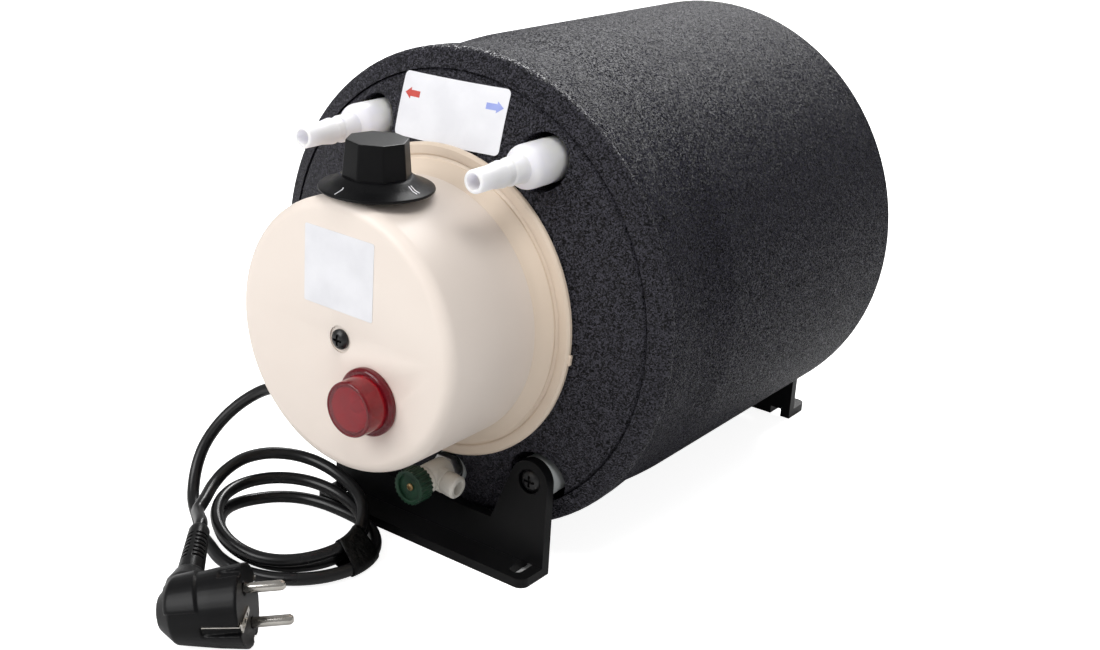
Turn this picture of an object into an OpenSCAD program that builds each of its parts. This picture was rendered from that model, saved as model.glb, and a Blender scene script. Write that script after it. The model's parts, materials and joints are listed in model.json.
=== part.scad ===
// Caravan water heater: a pressureless electric boiler. A foam-wrapped plastic tank lies on two
// moulded feet, with an electrical housing, two hose nozzles, a drain tap and a mains lead.
// Millimetres. +Z is up, the housing faces -Y, and the origin is on the floor under the middle.

/* [Insulation] */
// Outside diameter of the foam sleeve
sleeve_d = 245; // [235:1:260]
// Wall of the foam sleeve
sleeve_wall = 10; // [8:0.5:12]
// Distance between the front and rear seams of the foam
body_len = 242; // [225:1:270]
// How far the sleeve draws in behind its front rim
sleeve_waist = 1.6; // [0:0.1:2.5]
// Rounding of the sleeve's rims
sleeve_edge = 5; // [3:0.5:7]
// Crown of the domed foam discs
disc_crown = 20; // [18:0.5:21]
// Depth of the foam discs behind the seam
disc_depth = 31; // [29:0.5:36]
// Radius of foam cut away round a fitting, beyond the fitting
foam_relief = 3; // [2:0.25:4]

/* [Tank] */
// Wall of the tank
tank_wall = 3.5; // [2.5:0.25:4.5]
// Rounding of the tank's ends
tank_edge = 18; // [14:1:22]
// Opening for the heater
mouth_d = 84; // [78:1:88]
// Outside of the flange round the opening
mouth_flange_d = 118; // [114:1:120]
// How far the mouth lies behind the seam
mouth_set = 8; // [6:0.5:10]
// Number of flange bolts
bolt_count = 6; // [6:2:8]
// Thread diameter of the flange bolts
bolt_d = 6; // [5:0.5:6]
// Thickness of the heater plate
plate_t = 3; // [2:0.25:4]
// Thickness of the heater gasket
gasket_t = 2; // [1.5:0.25:3]

/* [Brackets] */
// Height of the tank's axis above the floor
axis_h = 128; // [125:0.5:140]
// How far the bracket screws lie inside the seam
boss_inset = 14.3; // [13.8:0.1:16]
// Direction of the bracket screws, in degrees below the level
boss_angle = 53; // [50:0.5:56]
// Diameter of the tank's bosses
boss_d = 22; // [20:0.5:23]
// How far the bosses stand out of the seam
boss_reach = 6; // [5.5:0.25:9]
// Thickness of the bracket's upright plate
bracket_t = 5.5; // [4.5:0.25:7]
// Distance of the plate's top, between the ears, under the drain's axis
web_clear = 17; // [16:0.5:20]
// Half the width of the gap between the ears, at the web
web_gap = 36.5; // [33:0.5:40]
// Depth of the foot in front of the plate
foot_depth = 16; // [14:0.5:22]
// Thickness of the foot
foot_t = 5; // [4.5:0.25:7]
// Width of the screw slots in the feet
slot_w = 7; // [5.5:0.25:8]
// How far the slots lie outside the bracket screws
slot_out = 1.4; // [-1:0.1:2]
// Thread diameter of the bracket screws
screw_d = 5; // [4:0.25:5]

/* [Housing] */
// Diameter of the base's rim
base_d = 158; // [152:1:162]
// Thickness of the base's rim
rim_t = 4; // [3:0.25:5]
// Height of the step that the cover stands on
step_h = 8; // [6:0.5:10]
// Diameter of the cover
cover_d = 131; // [128:0.5:134]
// Depth of the cover
cover_depth = 60; // [58:0.5:70]
// Wall of the cover and the base
cover_wall = 2.5; // [2:0.1:3]
// Rounding of the cover's front edge
cover_edge = 6; // [4:0.5:8]
// Direction of the cable gland round the cover
gland_angle = 217; // [212:1:222]

/* [Knob] */
// Diameter of the knob's skirt
knob_d = 53; // [48:0.5:56]
// Height of the knob
knob_h = 23; // [20:0.5:26]
// Size of the eight-sided grip at its foot, across corners
grip_d = 32; // [28:0.5:34]
// Size of the grip at its top, across corners
grip_top_d = 29; // [26:0.5:30]
// Distance of the knob's axis behind the cover's face
knob_set = 23; // [22:0.5:26]
// Diameter of the thermostat's shaft
shaft_d = 6; // [5:0.25:6.5]

/* [Lamp] */
// Lamp's place right of the cover's middle
lamp_x = 18.5; // [16:0.5:22]
// Lamp's place below the cover's middle
lamp_drop = 25; // [23:0.5:28]
// Diameter of the lens
lens_d = 27; // [24:0.5:28]
// Diameter of the lens flange
lens_flange_d = 32.5; // [30:0.5:36]
// How far the lens stands out of the cover
lens_reach = 14.5; // [11:0.5:18]

/* [Hose nozzles] */
// How far the nozzles lie inside the seam
nozzle_inset = 17.8; // [17:0.1:19]
// Direction of the nozzles, in degrees above the level
nozzle_angle = 57.1; // [55:0.1:59]
// Diameter of the nozzle's socket
socket_d = 21; // [20.5:0.25:22.5]
// How far the socket stands out of the seam
socket_reach = 24; // [22:0.5:27]
// How far the nozzle's tip stands out of the socket
tip_len = 31; // [29:0.5:36]
// Outside diameter of the nozzle's tip
tip_d = 10.9; // [9.9:0.25:11.15]
// Bore of the nozzle
nozzle_bore = 7.2; // [5:0.2:7.6]

/* [Drain tap] */
// Drain's place right of the middle plane
drain_x = 7; // [4:0.5:9]
// How far the drain lies inside the seam
drain_inset = 23.5; // [21.5:0.25:24]
// Diameter of the handwheel
wheel_d = 18.5; // [16:0.5:19]
// Thickness of the handwheel
wheel_t = 8.5; // [7:0.5:10]
// Outside diameter of the outlet
outlet_d = 12; // [11:0.25:12.5]
// Bore of the outlet
outlet_bore = 7.4; // [6:0.2:8]
// Reach of the outlet from the tap's axis
outlet_reach = 16.5; // [15:0.5:19]
// Opening travel of the tap's plug
drain_travel = 3; // [2:0.25:3.5]

/* [Mains lead] */
// Diameter of the lead
cord_d = 6.4; // [6:0.1:6.6]
// Radius of the coil at the middle of the lead
coil_r = 39.5; // [38.5:0.5:40.5]
// Number of loops in the coil
coil_loops = 3; // [3:1:3]

/* [Fits] */
// Gap round pieces that lie in one another
fit = 0.3; // [0.2:0.05:0.4]
// Gap round screws, pins and shafts
slip = 0.1; // [0.05:0.01:0.12]

/* [Hidden] */
$fn = 64;
turn_fn = 120;

// Foam and tank, as radii and as distances ahead of the front seam
sleeve_r = sleeve_d / 2;
seam_r = sleeve_r - sleeve_wall;
disc_r = seam_r - fit;
tank_r = seam_r - 2 * fit;
tank_front = -disc_depth;
tank_len = body_len - 2 * disc_depth;
rim_set = 2.5;
rear_rim_set = 0.5;
waist_mid = 38;
waist_half = 30;
crown_r = (disc_r * disc_r + disc_crown * disc_crown) / (2 * disc_crown);
function foam_z(r) = disc_crown - crown_r + sqrt(crown_r * crown_r - r * r);

// Stack on the tank's mouth
mouth_z = -mouth_set;
plate_z = mouth_z + gasket_t;
floor_z = plate_z + plate_t;
floor_top = floor_z + cover_wall;
bolt_ring = (mouth_d + mouth_flange_d) / 4;
bolt_head_h = 4;
bolt_depth = 8;

// Places of the fittings round the axis
boss_x = (seam_r - boss_inset) * cos(boss_angle);
boss_drop = (seam_r - boss_inset) * sin(boss_angle);
nozzle_x = (seam_r - nozzle_inset) * cos(nozzle_angle);
nozzle_rise = (seam_r - nozzle_inset) * sin(nozzle_angle);
drain_drop = seam_r - drain_inset;

// Housing
base_r = base_d / 2;
cover_r = cover_d / 2;
cover_in = cover_r - cover_wall;
lip_r = cover_in - fit;
well_in = lip_r - cover_wall - 0.8;
well_r = lip_r - 0.8;
window_r = mouth_d / 2 - 6;
rim_back = foam_z(base_r) + fit;
rim_front = rim_back + rim_t;
step_z = rim_front + step_h;
lip_top = step_z + 6;
face_z = step_z + cover_depth;
groove_r = (base_r + cover_r) / 2 + 0.7;
foam_bore = max(well_r, mouth_flange_d / 2) + 1.5;
gland_set = 38;
gland_reach = 25;
gland_collar = 8;
gland_flange_d = 17;
gland_neck_d = 13;

// Bracket
bracket_half = boss_x + boss_d / 2;
slot_x = boss_x + slot_out;
web_h = axis_h - drain_drop - web_clear;
plate_front = boss_reach + bracket_t;
foot_front = plate_front + foot_depth;
foot_corner = 5;
head_set = 2.5;
screw_len = 18;

// Reach to the front and to the back of the seam, and where the seam then lies
front_reach = face_z + lens_reach;
rear_reach = body_len + foot_front;
seam_y = (front_reach - rear_reach) / 2;

// Thermostat and knob
knob_z = face_z - knob_set;
knob_gap = 1.2;
knob_foot = cover_r + knob_gap;
skirt_h = 6.5;
shelf_t = 1.5;
shelf_y = cover_in - 11;
shelf_half = 18;
stat_h = 25;
stat_half = 17;
bush_d = 10;
bush_top = cover_in - 1;
shaft_in = 10;
knob_bore_depth = knob_h - 5;

// Heater, sensor and cut-out on the plate
element_d = 8.5;
element_x = 16;
element_drop = 22;
element_len = 140;
well_rise = 15;
well_d = 9.6;
bulb_d = 6.4;
well_len = 105;
cutout_x = -24;
cutout_rise = 9;
pillar_d = 11;
cover_screw_d = 4;
capillary_d = 2.4;
bulb_rise = 6;
capillary_gap = 6;
capillary_drop = 12;

// Lamp
lamp_body_d = 20;
lens_flange_t = 3.5;
lens_wall = 2;
lamp_depth = 30;
lamp_nut_d = lamp_body_d + 7;
lamp_nut_t = 4;
neon_d = 6;
neon_h = 10;

// Nozzles
neck_d = 16.4;
neck_reach = 8;
seal_t = 1.5;
socket_back = -12;
socket_edge = 6;
step_d = 13.2;
step_len = 6.8;
waist_d = 11.7;
waist_len = 5;
barb_d = 12.8;
taper_len = 7.7;
tip_edge = 1.2;
tube_d = 10.6;
tube_bore = 8;
tube_depth = 26;
tube_bend = 14;
cold_drop = 150;

// Drain tap, along its own axis
drain_neck_d = 18;
drain_neck = foam_z(drain_drop) + 0.5;
tail_d = 10.8;
tail_bore = 6;
drain_nut_z = drain_neck + seal_t;
drain_nut_h = 4.5;
drain_nut_af = 15;
drain_body_z = drain_nut_z + drain_nut_h;
drain_body_d = 14.5;
drain_body_len = 14;
chamber_d = 10;
chamber_z = drain_body_z + 3;
bonnet_z = drain_body_z + drain_body_len;
bonnet_t = 3.5;
spindle_d = 4;
plug_t = 2;
wheel_z = bonnet_z + bonnet_t + 0.8;
outlet_gap = 0.6;
outlet_z = bonnet_z - outlet_d / 2 - outlet_gap;
outlet_root = 8;
outlet_groove = 1.2;
outlet_groove_d = outlet_d - 1;
outlet_root_d = outlet_d + 0.5;
outlet_tilt = -7;

// Mains lead. The points of its free runs are chosen by hand, on the floor and in the air.
cord_r = cord_d / 2;
coil_centre = [-47.5, -150];
coil_start = 242;
coil_start_out = 4.5;
coil_end = 215 + 360 * coil_loops;
ring_count = 70;
tape_t = 0.8;
tape_gap = 1.3;
tape_up = tape_t + tape_gap;
// Angles where each loop's place is set: at the front, the tie, beyond it, the back and twice on the left
stations = [290, 345, 395, 450, 520, 575];
tie_station = 1;
// Each loop's place at those angles, outwards of the coil's radius and upwards of the floor
loop_out = [[6, 10, 0.5, -8, -1, -0.5], [-5.5, -3.5, -5.5, -7.5, 0.5, 0], [0.5, 0, -5.5, -5, 8, 6.5]];
loop_up = [[0, tape_up, 0.5, 0.5, 2, 6], [0.5, tape_up, 5.5, 9, 12.5, 13.5],
           [6.5, tape_up + 7, 12.5, 17.5, 23.5, 17]];
lead_points = [
    [-91, -132, 63], [-102, -137, 54], [-110, -144, 43], [-115, -151, 30],
    [-114, -158, 18], [-106, -167, 8], [-93, -175, 4]
];

// Plug, lying on the floor: its place, its turn, its tilt and its own sizes
plug_at = [6, -232.5, 20.2];
plug_turn = 35;
plug_tilt = 9.5;
plug_roll = 6;
plug_r = 19.2;
plug_waist_r = 17.9;
plug_waist = 13;
plug_heel_r = 15;
plug_heel = 32;
plug_back_r = 8;
plug_back = 39.5;
pin_d = 4.8;
pin_len = 19;
pin_gap = 19;
pin_seat = 9.5;
clip_w = 4.4;
clip_t = 0.9;
clip_len = 17;
groove_d = 2.2;
clip_deep = plug_r - groove_d - 0.9;
groove_floor = clip_deep - clip_t / 2 - 0.1;
notch_w = 5;
notch_len = 10;
notch_d = 2.4;
// Relief that the lead leaves through: where it starts, how long it is and how it leans
relief_x = -31.5;
relief_from = 23;
relief_lift = 2;
relief_len = 38;
relief_lean = 6;
relief_r = 6.5;

// Helpers

// Frame on the front seam: x right, y up, z towards the housing
module front(at = [0, 0], z = 0)
    translate([0, seam_y, axis_h]) rotate([90, 0, 0]) translate([at[0], at[1], z]) children();

// The same frame on the rear seam, facing backwards
module rear() front(z = -body_len) rotate([0, 180, 0]) children();

// Upward axis in the front frame, with z as the height
module upward() rotate([-90, 0, 0]) children();

module turned(profile) rotate_extrude($fn = turn_fn) polygon(profile);

module hole(d, from, to) translate([0, 0, from]) cylinder(d = d, h = to - from);

module tube(d, bore, from, to)
    difference() {
        hole(d, from, to);
        hole(bore, from - 1, to + 1);
    }

function arc(centre, r, from, to, steps) =
    [for (i = [0 : steps]) let (a = from + (to - from) * i / steps) centre + r * [cos(a), sin(a)]];

// Cross-head screw, its head's underside at z = 0
module screw(d, length, head_d, head_h) {
    hole(d, -length, 0.5);
    difference() {
        turned([[0, 0], [head_d / 2, 0], [head_d / 2, head_h * 0.45], [head_d * 0.36, head_h * 0.85],
                [head_d * 0.2, head_h], [0, head_h]]);
        for (turn = [0, 90])
            rotate([0, 0, turn])
                translate([-head_d * 0.28, -head_d * 0.06, head_h * 0.45])
                    cube([head_d * 0.56, head_d * 0.12, head_h]);
    }
}

function unit(v) = v / norm(v);
function tangents(path) =
    [for (i = [0 : len(path) - 1])
        unit(path[min(i + 1, len(path) - 1)] - path[max(i - 1, 0)])];
function carried(along, i, side) =
    i == len(along) ? []
    : let (s = unit(side - (side * along[i]) * along[i])) concat([s], carried(along, i + 1, s));

// Round tube along a path, one ring at each point, closed at both ends
module swept(path, r, sides) {
    along = tangents(path);
    across = carried(along, 0, [0.3, 1, 0.2]);
    points = [for (i = [0 : len(path) - 1], j = [0 : sides - 1])
        let (a = 360 * j / sides, up = cross(along[i], across[i]))
            path[i] + r * (cos(a) * across[i] + sin(a) * up)];
    last = (len(path) - 1) * sides;
    walls = [for (i = [0 : len(path) - 2], j = [0 : sides - 1], half = [0, 1])
        let (a = i * sides + j, b = i * sides + (j + 1) % sides)
            half == 0 ? [a, a + sides, b + sides] : [a, b + sides, b]];
    ends = [for (j = [1 : sides - 2], end = [0, 1])
        end == 0 ? [0, j, j + 1] : [last, last + j + 1, last + j]];
    polyhedron(points, concat(walls, ends));
}

// Insulation

module insulation_sleeve() {
    front_z = -rim_set;
    back_z = rear_rim_set - body_len;
    waist = [for (i = [0 : 16]) let (s = -1 + i / 8)
        [sleeve_r - sleeve_waist * (1 + cos(180 * s)) / 2, -waist_mid - waist_half * s]];
    color("dimgray") front() turned(concat(
        [[seam_r, -body_len], [seam_r, 0]],
        arc([sleeve_r - sleeve_edge, front_z - sleeve_edge], sleeve_edge, 78, 0, 6),
        waist,
        arc([sleeve_r - sleeve_edge, back_z + sleeve_edge], sleeve_edge, 0, -78, 6)));
}

// Domed disc with its flat back on the tank
module foam_disc(hole_r) {
    soft = 1.5;
    dome = [for (i = [0 : 12]) let (r = disc_r - soft + (hole_r - disc_r + soft) * i / 12) [r, foam_z(r)]];
    turned(concat([[hole_r, tank_front], [disc_r, tank_front], [disc_r, foam_z(disc_r) - soft]], dome));
}

module boss_places() for (side = [-1, 1]) translate([side * boss_x, -boss_drop, 0]) children();
module nozzle_places() for (side = [-1, 1]) translate([side * nozzle_x, nozzle_rise, 0]) children();

module front_insulation() {
    color("dimgray") front() difference() {
        foam_disc(foam_bore);
        boss_places() hole(boss_d + 2 * foam_relief + 1, tank_front - 1, disc_crown + 1);
        nozzle_places() hole(socket_d + 2 * foam_relief, tank_front - 1, disc_crown + 1);
        translate([drain_x, -drain_drop, 0]) hole(drain_neck_d + 2 * fit, tank_front - 1, disc_crown + 1);
    }
}

module rear_insulation() {
    color("dimgray") rear() difference() {
        foam_disc(0);
        boss_places() hole(boss_d + 2 * foam_relief + 1, tank_front - 1, disc_crown + 1);
    }
}

// Tank and its fittings

function tank_outline(r, inset) =
    let (e = tank_edge - inset, top = tank_front - inset, bottom = tank_front - tank_len + inset)
    concat([[0, bottom]], arc([r - e, bottom + e], e, -90, 0, 8), arc([r - e, top - e], e, 0, 90, 8),
           [[0, top]]);

module bolt_places()
    for (i = [0 : bolt_count - 1]) rotate([0, 0, 360 * i / bolt_count]) translate([bolt_ring, 0, 0]) children();

module tank() {
    sunk = tank_front - tank_edge * 0.7;
    color("white") difference() {
        union() {
            front() turned(tank_outline(tank_r, 0));
            front() hole(mouth_flange_d, tank_front - 1, mouth_z);
            front() boss_places() hole(boss_d, sunk, boss_reach);
            rear() boss_places() hole(boss_d, sunk, boss_reach);
            front() nozzle_places() hole(neck_d, sunk, neck_reach);
            front([drain_x, -drain_drop]) hole(drain_neck_d, sunk, drain_neck);
        }
        front() turned(tank_outline(tank_r - tank_wall, tank_wall));
        front() hole(mouth_d, tank_front - tank_wall - 1, mouth_z + 1);
        front() bolt_places() hole(bolt_d + 2 * slip, mouth_z - bolt_depth - 1, mouth_z + 1);
        front() nozzle_places() hole(tube_d + 2 * slip, sunk - 1, neck_reach + 1);
        front([drain_x, -drain_drop]) hole(tail_d + 2 * slip, sunk - 1, drain_neck + 1);
        front() boss_places() hole(screw_d + 2 * slip, boss_reach - screw_len, boss_reach + 1);
        rear() boss_places() hole(screw_d + 2 * slip, boss_reach - screw_len, boss_reach + 1);
    }
}

// Stepped hose nozzle that caps the tank's neck
module nozzle() {
    seat = neck_reach + seal_t;
    step_end = socket_reach + step_len;
    barb_z = step_end + waist_len;
    taper_end = barb_z + taper_len;
    tip = socket_reach + tip_len;
    cap_r = neck_d / 2 + slip;
    edge_at = [socket_d / 2 - socket_edge, socket_reach - socket_edge - 1];
    turned(concat(
        [[cap_r, seat], [cap_r, socket_back], [socket_d / 2, socket_back]],
        arc(edge_at, socket_edge, 0, 64, 6),
        [[step_d / 2, socket_reach], [step_d / 2, step_end], [waist_d / 2, step_end + 0.8],
         [waist_d / 2, barb_z - 0.2], [barb_d / 2, barb_z + 0.4], [tip_d / 2, taper_end]],
        arc([tip_d / 2 - tip_edge, tip - tip_edge], tip_edge, 0, 90, 4),
        [[nozzle_bore / 2, tip], [nozzle_bore / 2, seat]]));
}

module hot_nozzle() color("ghostwhite") front([-nozzle_x, nozzle_rise]) nozzle();
module cold_nozzle() color("ghostwhite") front([nozzle_x, nozzle_rise]) nozzle();

module nozzle_seals()
    color("black") front() nozzle_places() tube(neck_d, tube_d, neck_reach, neck_reach + seal_t);

module hot_tube()
    color("gainsboro") front([-nozzle_x, nozzle_rise]) tube(tube_d, tube_bore, tank_front - tube_depth, 0);

// Inlet tube: straight in from the neck, then down to the tank's floor
module cold_run(d) {
    bend_z = tank_front - tube_depth;
    hole(d, bend_z, 0);
    translate([0, -tube_bend, bend_z]) rotate([0, -90, 0]) rotate([0, 0, 90])
        rotate_extrude(angle = 90, $fn = turn_fn) translate([tube_bend, 0]) circle(d = d);
    translate([0, -cold_drop, bend_z - tube_bend]) rotate([-90, 0, 0])
        cylinder(d = d, h = cold_drop - tube_bend);
}

module cold_tube()
    color("gainsboro") front([nozzle_x, nozzle_rise]) difference() {
        cold_run(tube_d);
        cold_run(tube_bore);
        hole(tube_bore, -1, 1);
        translate([0, -cold_drop - 1, tank_front - tube_depth - tube_bend]) rotate([-90, 0, 0])
            cylinder(d = tube_bore, h = 2);
    }

// Brackets

// Point where the slanted inner edge of an ear meets its round end
function ear_tangent() =
    let (from = [web_gap, web_h - axis_h], to = [boss_x, -boss_drop], r = boss_d / 2,
         d = norm(to - from), reach = sqrt(d * d - r * r),
         a = atan2(to[1] - from[1], to[0] - from[0]) + asin(r / d))
    from + reach * [cos(a), sin(a)];

module half_plate() {
    polygon([[0, -axis_h], [bracket_half, -axis_h], [bracket_half, -boss_drop], [boss_x, -boss_drop],
             ear_tangent(), [web_gap, web_h - axis_h], [0, web_h - axis_h]]);
    translate([boss_x, -boss_drop]) circle(d = boss_d);
}

module foot_outline() {
    straight = foot_depth + bracket_t;
    for (side = [-1, 1]) translate([side * (bracket_half - foot_corner), straight - foot_corner])
        circle(r = foot_corner);
    translate([foot_corner - bracket_half, 0]) square([2 * (bracket_half - foot_corner), straight]);
    translate([-bracket_half, 0]) square([2 * bracket_half, straight - foot_corner]);
}

// Open slot: a screw slides in from under the plate to the round end
module slot() {
    translate([-slot_w / 2, -1, -1]) cube([slot_w, bracket_t + foot_depth / 2 + 1, foot_t + 1]);
    translate([0, bracket_t + foot_depth / 2, -1]) cylinder(d = slot_w, h = foot_t + 2);
    translate([-slot_w / 2, bracket_t, -1]) cube([slot_w, foot_depth / 2, foot_t + 2]);
}

module bracket() {
    difference() {
        union() {
            translate([0, 0, boss_reach]) linear_extrude(bracket_t) {
                half_plate();
                mirror([1, 0]) half_plate();
            }
            translate([0, -axis_h, boss_reach]) rotate([-90, 0, 0]) mirror([0, 1, 0])
                linear_extrude(foot_t) foot_outline();
        }
        for (side = [-1, 1]) translate([side * slot_x, -axis_h, boss_reach]) rotate([-90, 0, 0])
            mirror([0, 1, 0]) slot();
        boss_places() {
            hole(screw_d + 2 * slip, boss_reach - 1, plate_front + 1);
            hole(2.2 * screw_d + 2, plate_front - head_set, plate_front + 1);
        }
    }
}

module front_bracket() color("#202020") front() bracket();
module rear_bracket() color("#202020") rear() bracket();

module bracket_screws()
    color("#181818") {
        front() boss_places() bracket_screw();
        rear() boss_places() bracket_screw();
    }

module bracket_screw()
    translate([0, 0, plate_front - head_set])
        screw(screw_d, screw_len - head_set - 1, 2.2 * screw_d, 3);

// Housing

module housing_base() {
    rim = 1.2;
    ramp_r = groove_r - 1.4;
    color("bisque") front() difference() {
        union() {
            turned([[window_r, floor_z], [well_r, floor_z], [well_r, foam_z(well_r) + 2 * fit], [base_r - rim, rim_back + 0.2],
                    [base_r, rim_back + rim], [base_r, rim_front - rim], [base_r - rim, rim_front],
                    [groove_r + 0.8, rim_front], [groove_r, rim_front - 0.8], [ramp_r, rim_front],
                    [ramp_r, rim_front + 1.2], [ramp_r - 1, rim_front + 2.2],
                    [cover_r + 0.6, step_z - 1.4], [cover_r, step_z], [lip_r, step_z], [lip_r, lip_top],
                    [well_in, lip_top], [well_in, floor_top], [window_r, floor_top]]);
            rotate([0, 0, -6]) translate([base_r - 1, -2.5, rim_back + rim]) cube([2.2, 5, rim_t - 2 * rim]);
        }
        bolt_places() hole(bolt_d + 2 * fit, floor_z - 1, floor_top + 1);
    }
}

module gland_place() rotate([0, 0, gland_angle]) translate([cover_r, 0, face_z - gland_set]) rotate([0, 90, 0]) children();

module cover() {
    inner_edge = cover_edge - cover_wall;
    color("bisque") front() difference() {
        turned(concat([[cover_in, step_z], [cover_r, step_z]],
            arc([cover_r - cover_edge, face_z - cover_edge], cover_edge, 0, 90, 8),
            [[0, face_z], [0, face_z - cover_wall]],
            arc([cover_in - inner_edge, face_z - cover_wall - inner_edge], inner_edge, 90, 0, 6)));
        hole(cover_screw_d + 2 * fit, face_z - cover_wall - 1, face_z + 1);
        hole(13, face_z - 0.8, face_z + 1);
        translate([lamp_x, -lamp_drop, 0]) hole(lamp_body_d + 2 * slip, face_z - cover_wall - 1, face_z + 1);
        translate([0, 0, knob_z]) upward() hole(bush_d + 4, cover_in - 4, cover_r + 1);
        gland_place() hole(gland_neck_d + 2 * fit, -cover_wall - 2, 2);
    }
}

module cover_pillar() {
    top = face_z - cover_wall;
    color("silver") front() difference() {
        translate([0, 0, floor_z]) cylinder(d = pillar_d, h = top - floor_z, $fn = 6);
        hole(cover_screw_d + 2 * slip, top - 14, top + 1);
    }
}

module cover_screw()
    color("#181818") front(z = face_z - 0.8) screw(cover_screw_d, 13, 9.6, 3);

// Heater

module heater_plate() {
    color("silver") front() difference() {
        hole(mouth_flange_d, plate_z, floor_z);
        bolt_places() hole(bolt_d + 2 * fit, plate_z - 1, floor_z + 1);
        for (side = [-1, 1]) translate([side * element_x, -element_drop, 0])
            hole(element_d + 2 * slip, plate_z - 1, floor_z + 1);
        translate([0, well_rise, 0]) hole(well_d + 2 * slip, plate_z - 1, floor_z + 1);
    }
}

module heater_gasket() {
    color("#303030") front() difference() {
        tube(mouth_flange_d, mouth_d, mouth_z, plate_z);
        bolt_places() hole(bolt_d + 2 * fit, mouth_z - 1, plate_z + 1);
    }
}

module flange_bolts() {
    shank = floor_top - mouth_z + bolt_depth;
    color("silver") front() bolt_places() {
        hole(bolt_d, floor_top - shank, floor_top + 0.5);
        translate([0, 0, floor_top]) cylinder(d = 1.9 * bolt_d, h = bolt_head_h, $fn = 6);
    }
}

// Two straight legs and a half-round bend, with collars under the plate and thin terminals
module heating_element() {
    bend_z = plate_z - element_len;
    color("silver") front([0, -element_drop]) {
        for (side = [-1, 1]) translate([side * element_x, 0, 0]) {
            hole(element_d, bend_z, floor_top + 4);
            hole(element_d + 5, plate_z - 3, plate_z);
            hole(4, floor_top + 3, floor_top + 14);
        }
        translate([0, 0, bend_z]) rotate([-90, 0, 0])
            rotate_extrude(angle = 180, $fn = turn_fn) translate([element_x, 0]) circle(d = element_d);
    }
}

module thermowell()
    color("silver") front([0, well_rise]) difference() {
        union() {
            hole(well_d, plate_z - well_len, floor_z + 3);
            hole(well_d + 4, plate_z - 2.5, plate_z);
        }
        hole(bulb_d + 2 * slip, plate_z - well_len + 1.5, floor_z + 4);
    }

// Sensing bulb in the pocket, with its thin tube up to the thermostat
module sensor_bulb() {
    top = floor_z + bulb_rise;
    run_z = knob_z - stat_half - capillary_gap;
    run_y = shelf_y - well_rise - capillary_drop;
    color("peru") front([0, well_rise]) {
        hole(bulb_d, plate_z - well_len + 2, top);
        hole(capillary_d, top - 1, run_z);
        translate([0, 0, run_z]) sphere(d = capillary_d);
        translate([0, 0, run_z]) upward() hole(capillary_d, 0, run_y);
        translate([0, run_y, run_z]) sphere(d = capillary_d);
        translate([0, run_y, 0]) hole(capillary_d, run_z, knob_z - stat_half);
    }
}

module thermostat_bracket() {
    tab_h = 13;
    length = knob_z + stat_half - floor_top;
    color("silver") front() difference() {
        union() {
            translate([-shelf_half, shelf_y, floor_top]) cube([2 * shelf_half, shelf_t, length]);
            translate([-shelf_half, shelf_y - tab_h, floor_top]) cube([2 * shelf_half, tab_h + shelf_t, shelf_t]);
        }
        translate([0, 0, knob_z]) upward() hole(bush_d + 2 * slip, shelf_y - 1, shelf_y + shelf_t + 1);
    }
}

module thermostat_body()
    color("#e8e4d8") front() difference() {
        union() {
            translate([-stat_half, shelf_y - stat_h, knob_z - stat_half])
                cube([2 * stat_half, stat_h, 2 * stat_half]);
            translate([0, 0, knob_z]) upward() hole(bush_d, shelf_y - 1, bush_top);
        }
        translate([0, 0, knob_z]) upward() hole(shaft_d + slip, shelf_y - shaft_in - 0.5, bush_top + 1);
    }

module thermostat_nut()
    color("silver") front(z = knob_z) upward() difference() {
        translate([0, 0, shelf_y + shelf_t]) cylinder(d = 16, h = 3, $fn = 6);
        hole(bush_d + 2 * slip, shelf_y, shelf_y + 6);
    }

module thermostat_shaft()
    color("silver") front(z = knob_z) upward() hole(shaft_d, shelf_y - shaft_in, knob_foot + knob_bore_depth - 0.5);

module knob() {
    rim_h = 1.4;
    grip_r = grip_d / 2;
    color("#1c1c1c") front(z = knob_z) upward() translate([0, 0, knob_foot]) difference() {
        union() {
            turned([[0, 2.5], [bush_d / 2 + 4, 2.5], [knob_d / 2 - 3, 0], [knob_d / 2, 0], [knob_d / 2, rim_h],
                    [knob_d * 0.4, rim_h + 1.6], [grip_r + 1.5, skirt_h - 0.8], [grip_r, skirt_h], [0, skirt_h]]);
            translate([0, 0, skirt_h - 1]) rotate([0, 0, 22.5 - 15])
                cylinder(d1 = grip_d, d2 = grip_top_d, h = knob_h - skirt_h + 1, $fn = 8);
        }
        hole(shaft_d + 2 * slip, -1, knob_bore_depth);
    }
}

module safety_cutout()
    color("#c8a878") front([cutout_x, cutout_rise]) {
        hole(16, floor_z, floor_z + 7);
        hole(11, floor_z + 6, floor_z + 11);
        for (side = [-1, 1]) translate([side * 3 - 0.4, -3, floor_z + 10]) cube([0.8, 6, 9]);
    }

module terminal_block() {
    half = 17;
    deep = 13;
    low = -well_in + 4.5;
    color("#f0ece0") front() difference() {
        translate([-half, low, floor_top]) cube([2 * half, deep, 17]);
        for (pole = [-1, 0, 1]) translate([pole * 11, low + deep / 2, 0]) hole(5, floor_top + 6, floor_top + 20);
    }
}

// Pilot lamp

module lamp() front([lamp_x, -lamp_drop], face_z) children();

module lamp_lens() {
    r = lens_d / 2;
    flange_r = lens_flange_d / 2;
    crown = 0.4;
    inner = lamp_body_d / 2 + fit;
    color("red", 0.8) lamp() turned([
        [inner, 0], [flange_r, 0], [flange_r, lens_flange_t - 1.2], [flange_r - 1.2, lens_flange_t],
        [r, lens_flange_t], [r - 0.4, lens_reach - crown - 0.6], [r - 1, lens_reach - crown],
        [r * 0.6, lens_reach - 0.1], [0, lens_reach], [0, lens_reach - lens_wall],
        [r - lens_wall - 1, lens_reach - crown - lens_wall], [inner, lens_reach - crown - lens_wall - 0.6]]);
}

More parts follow.
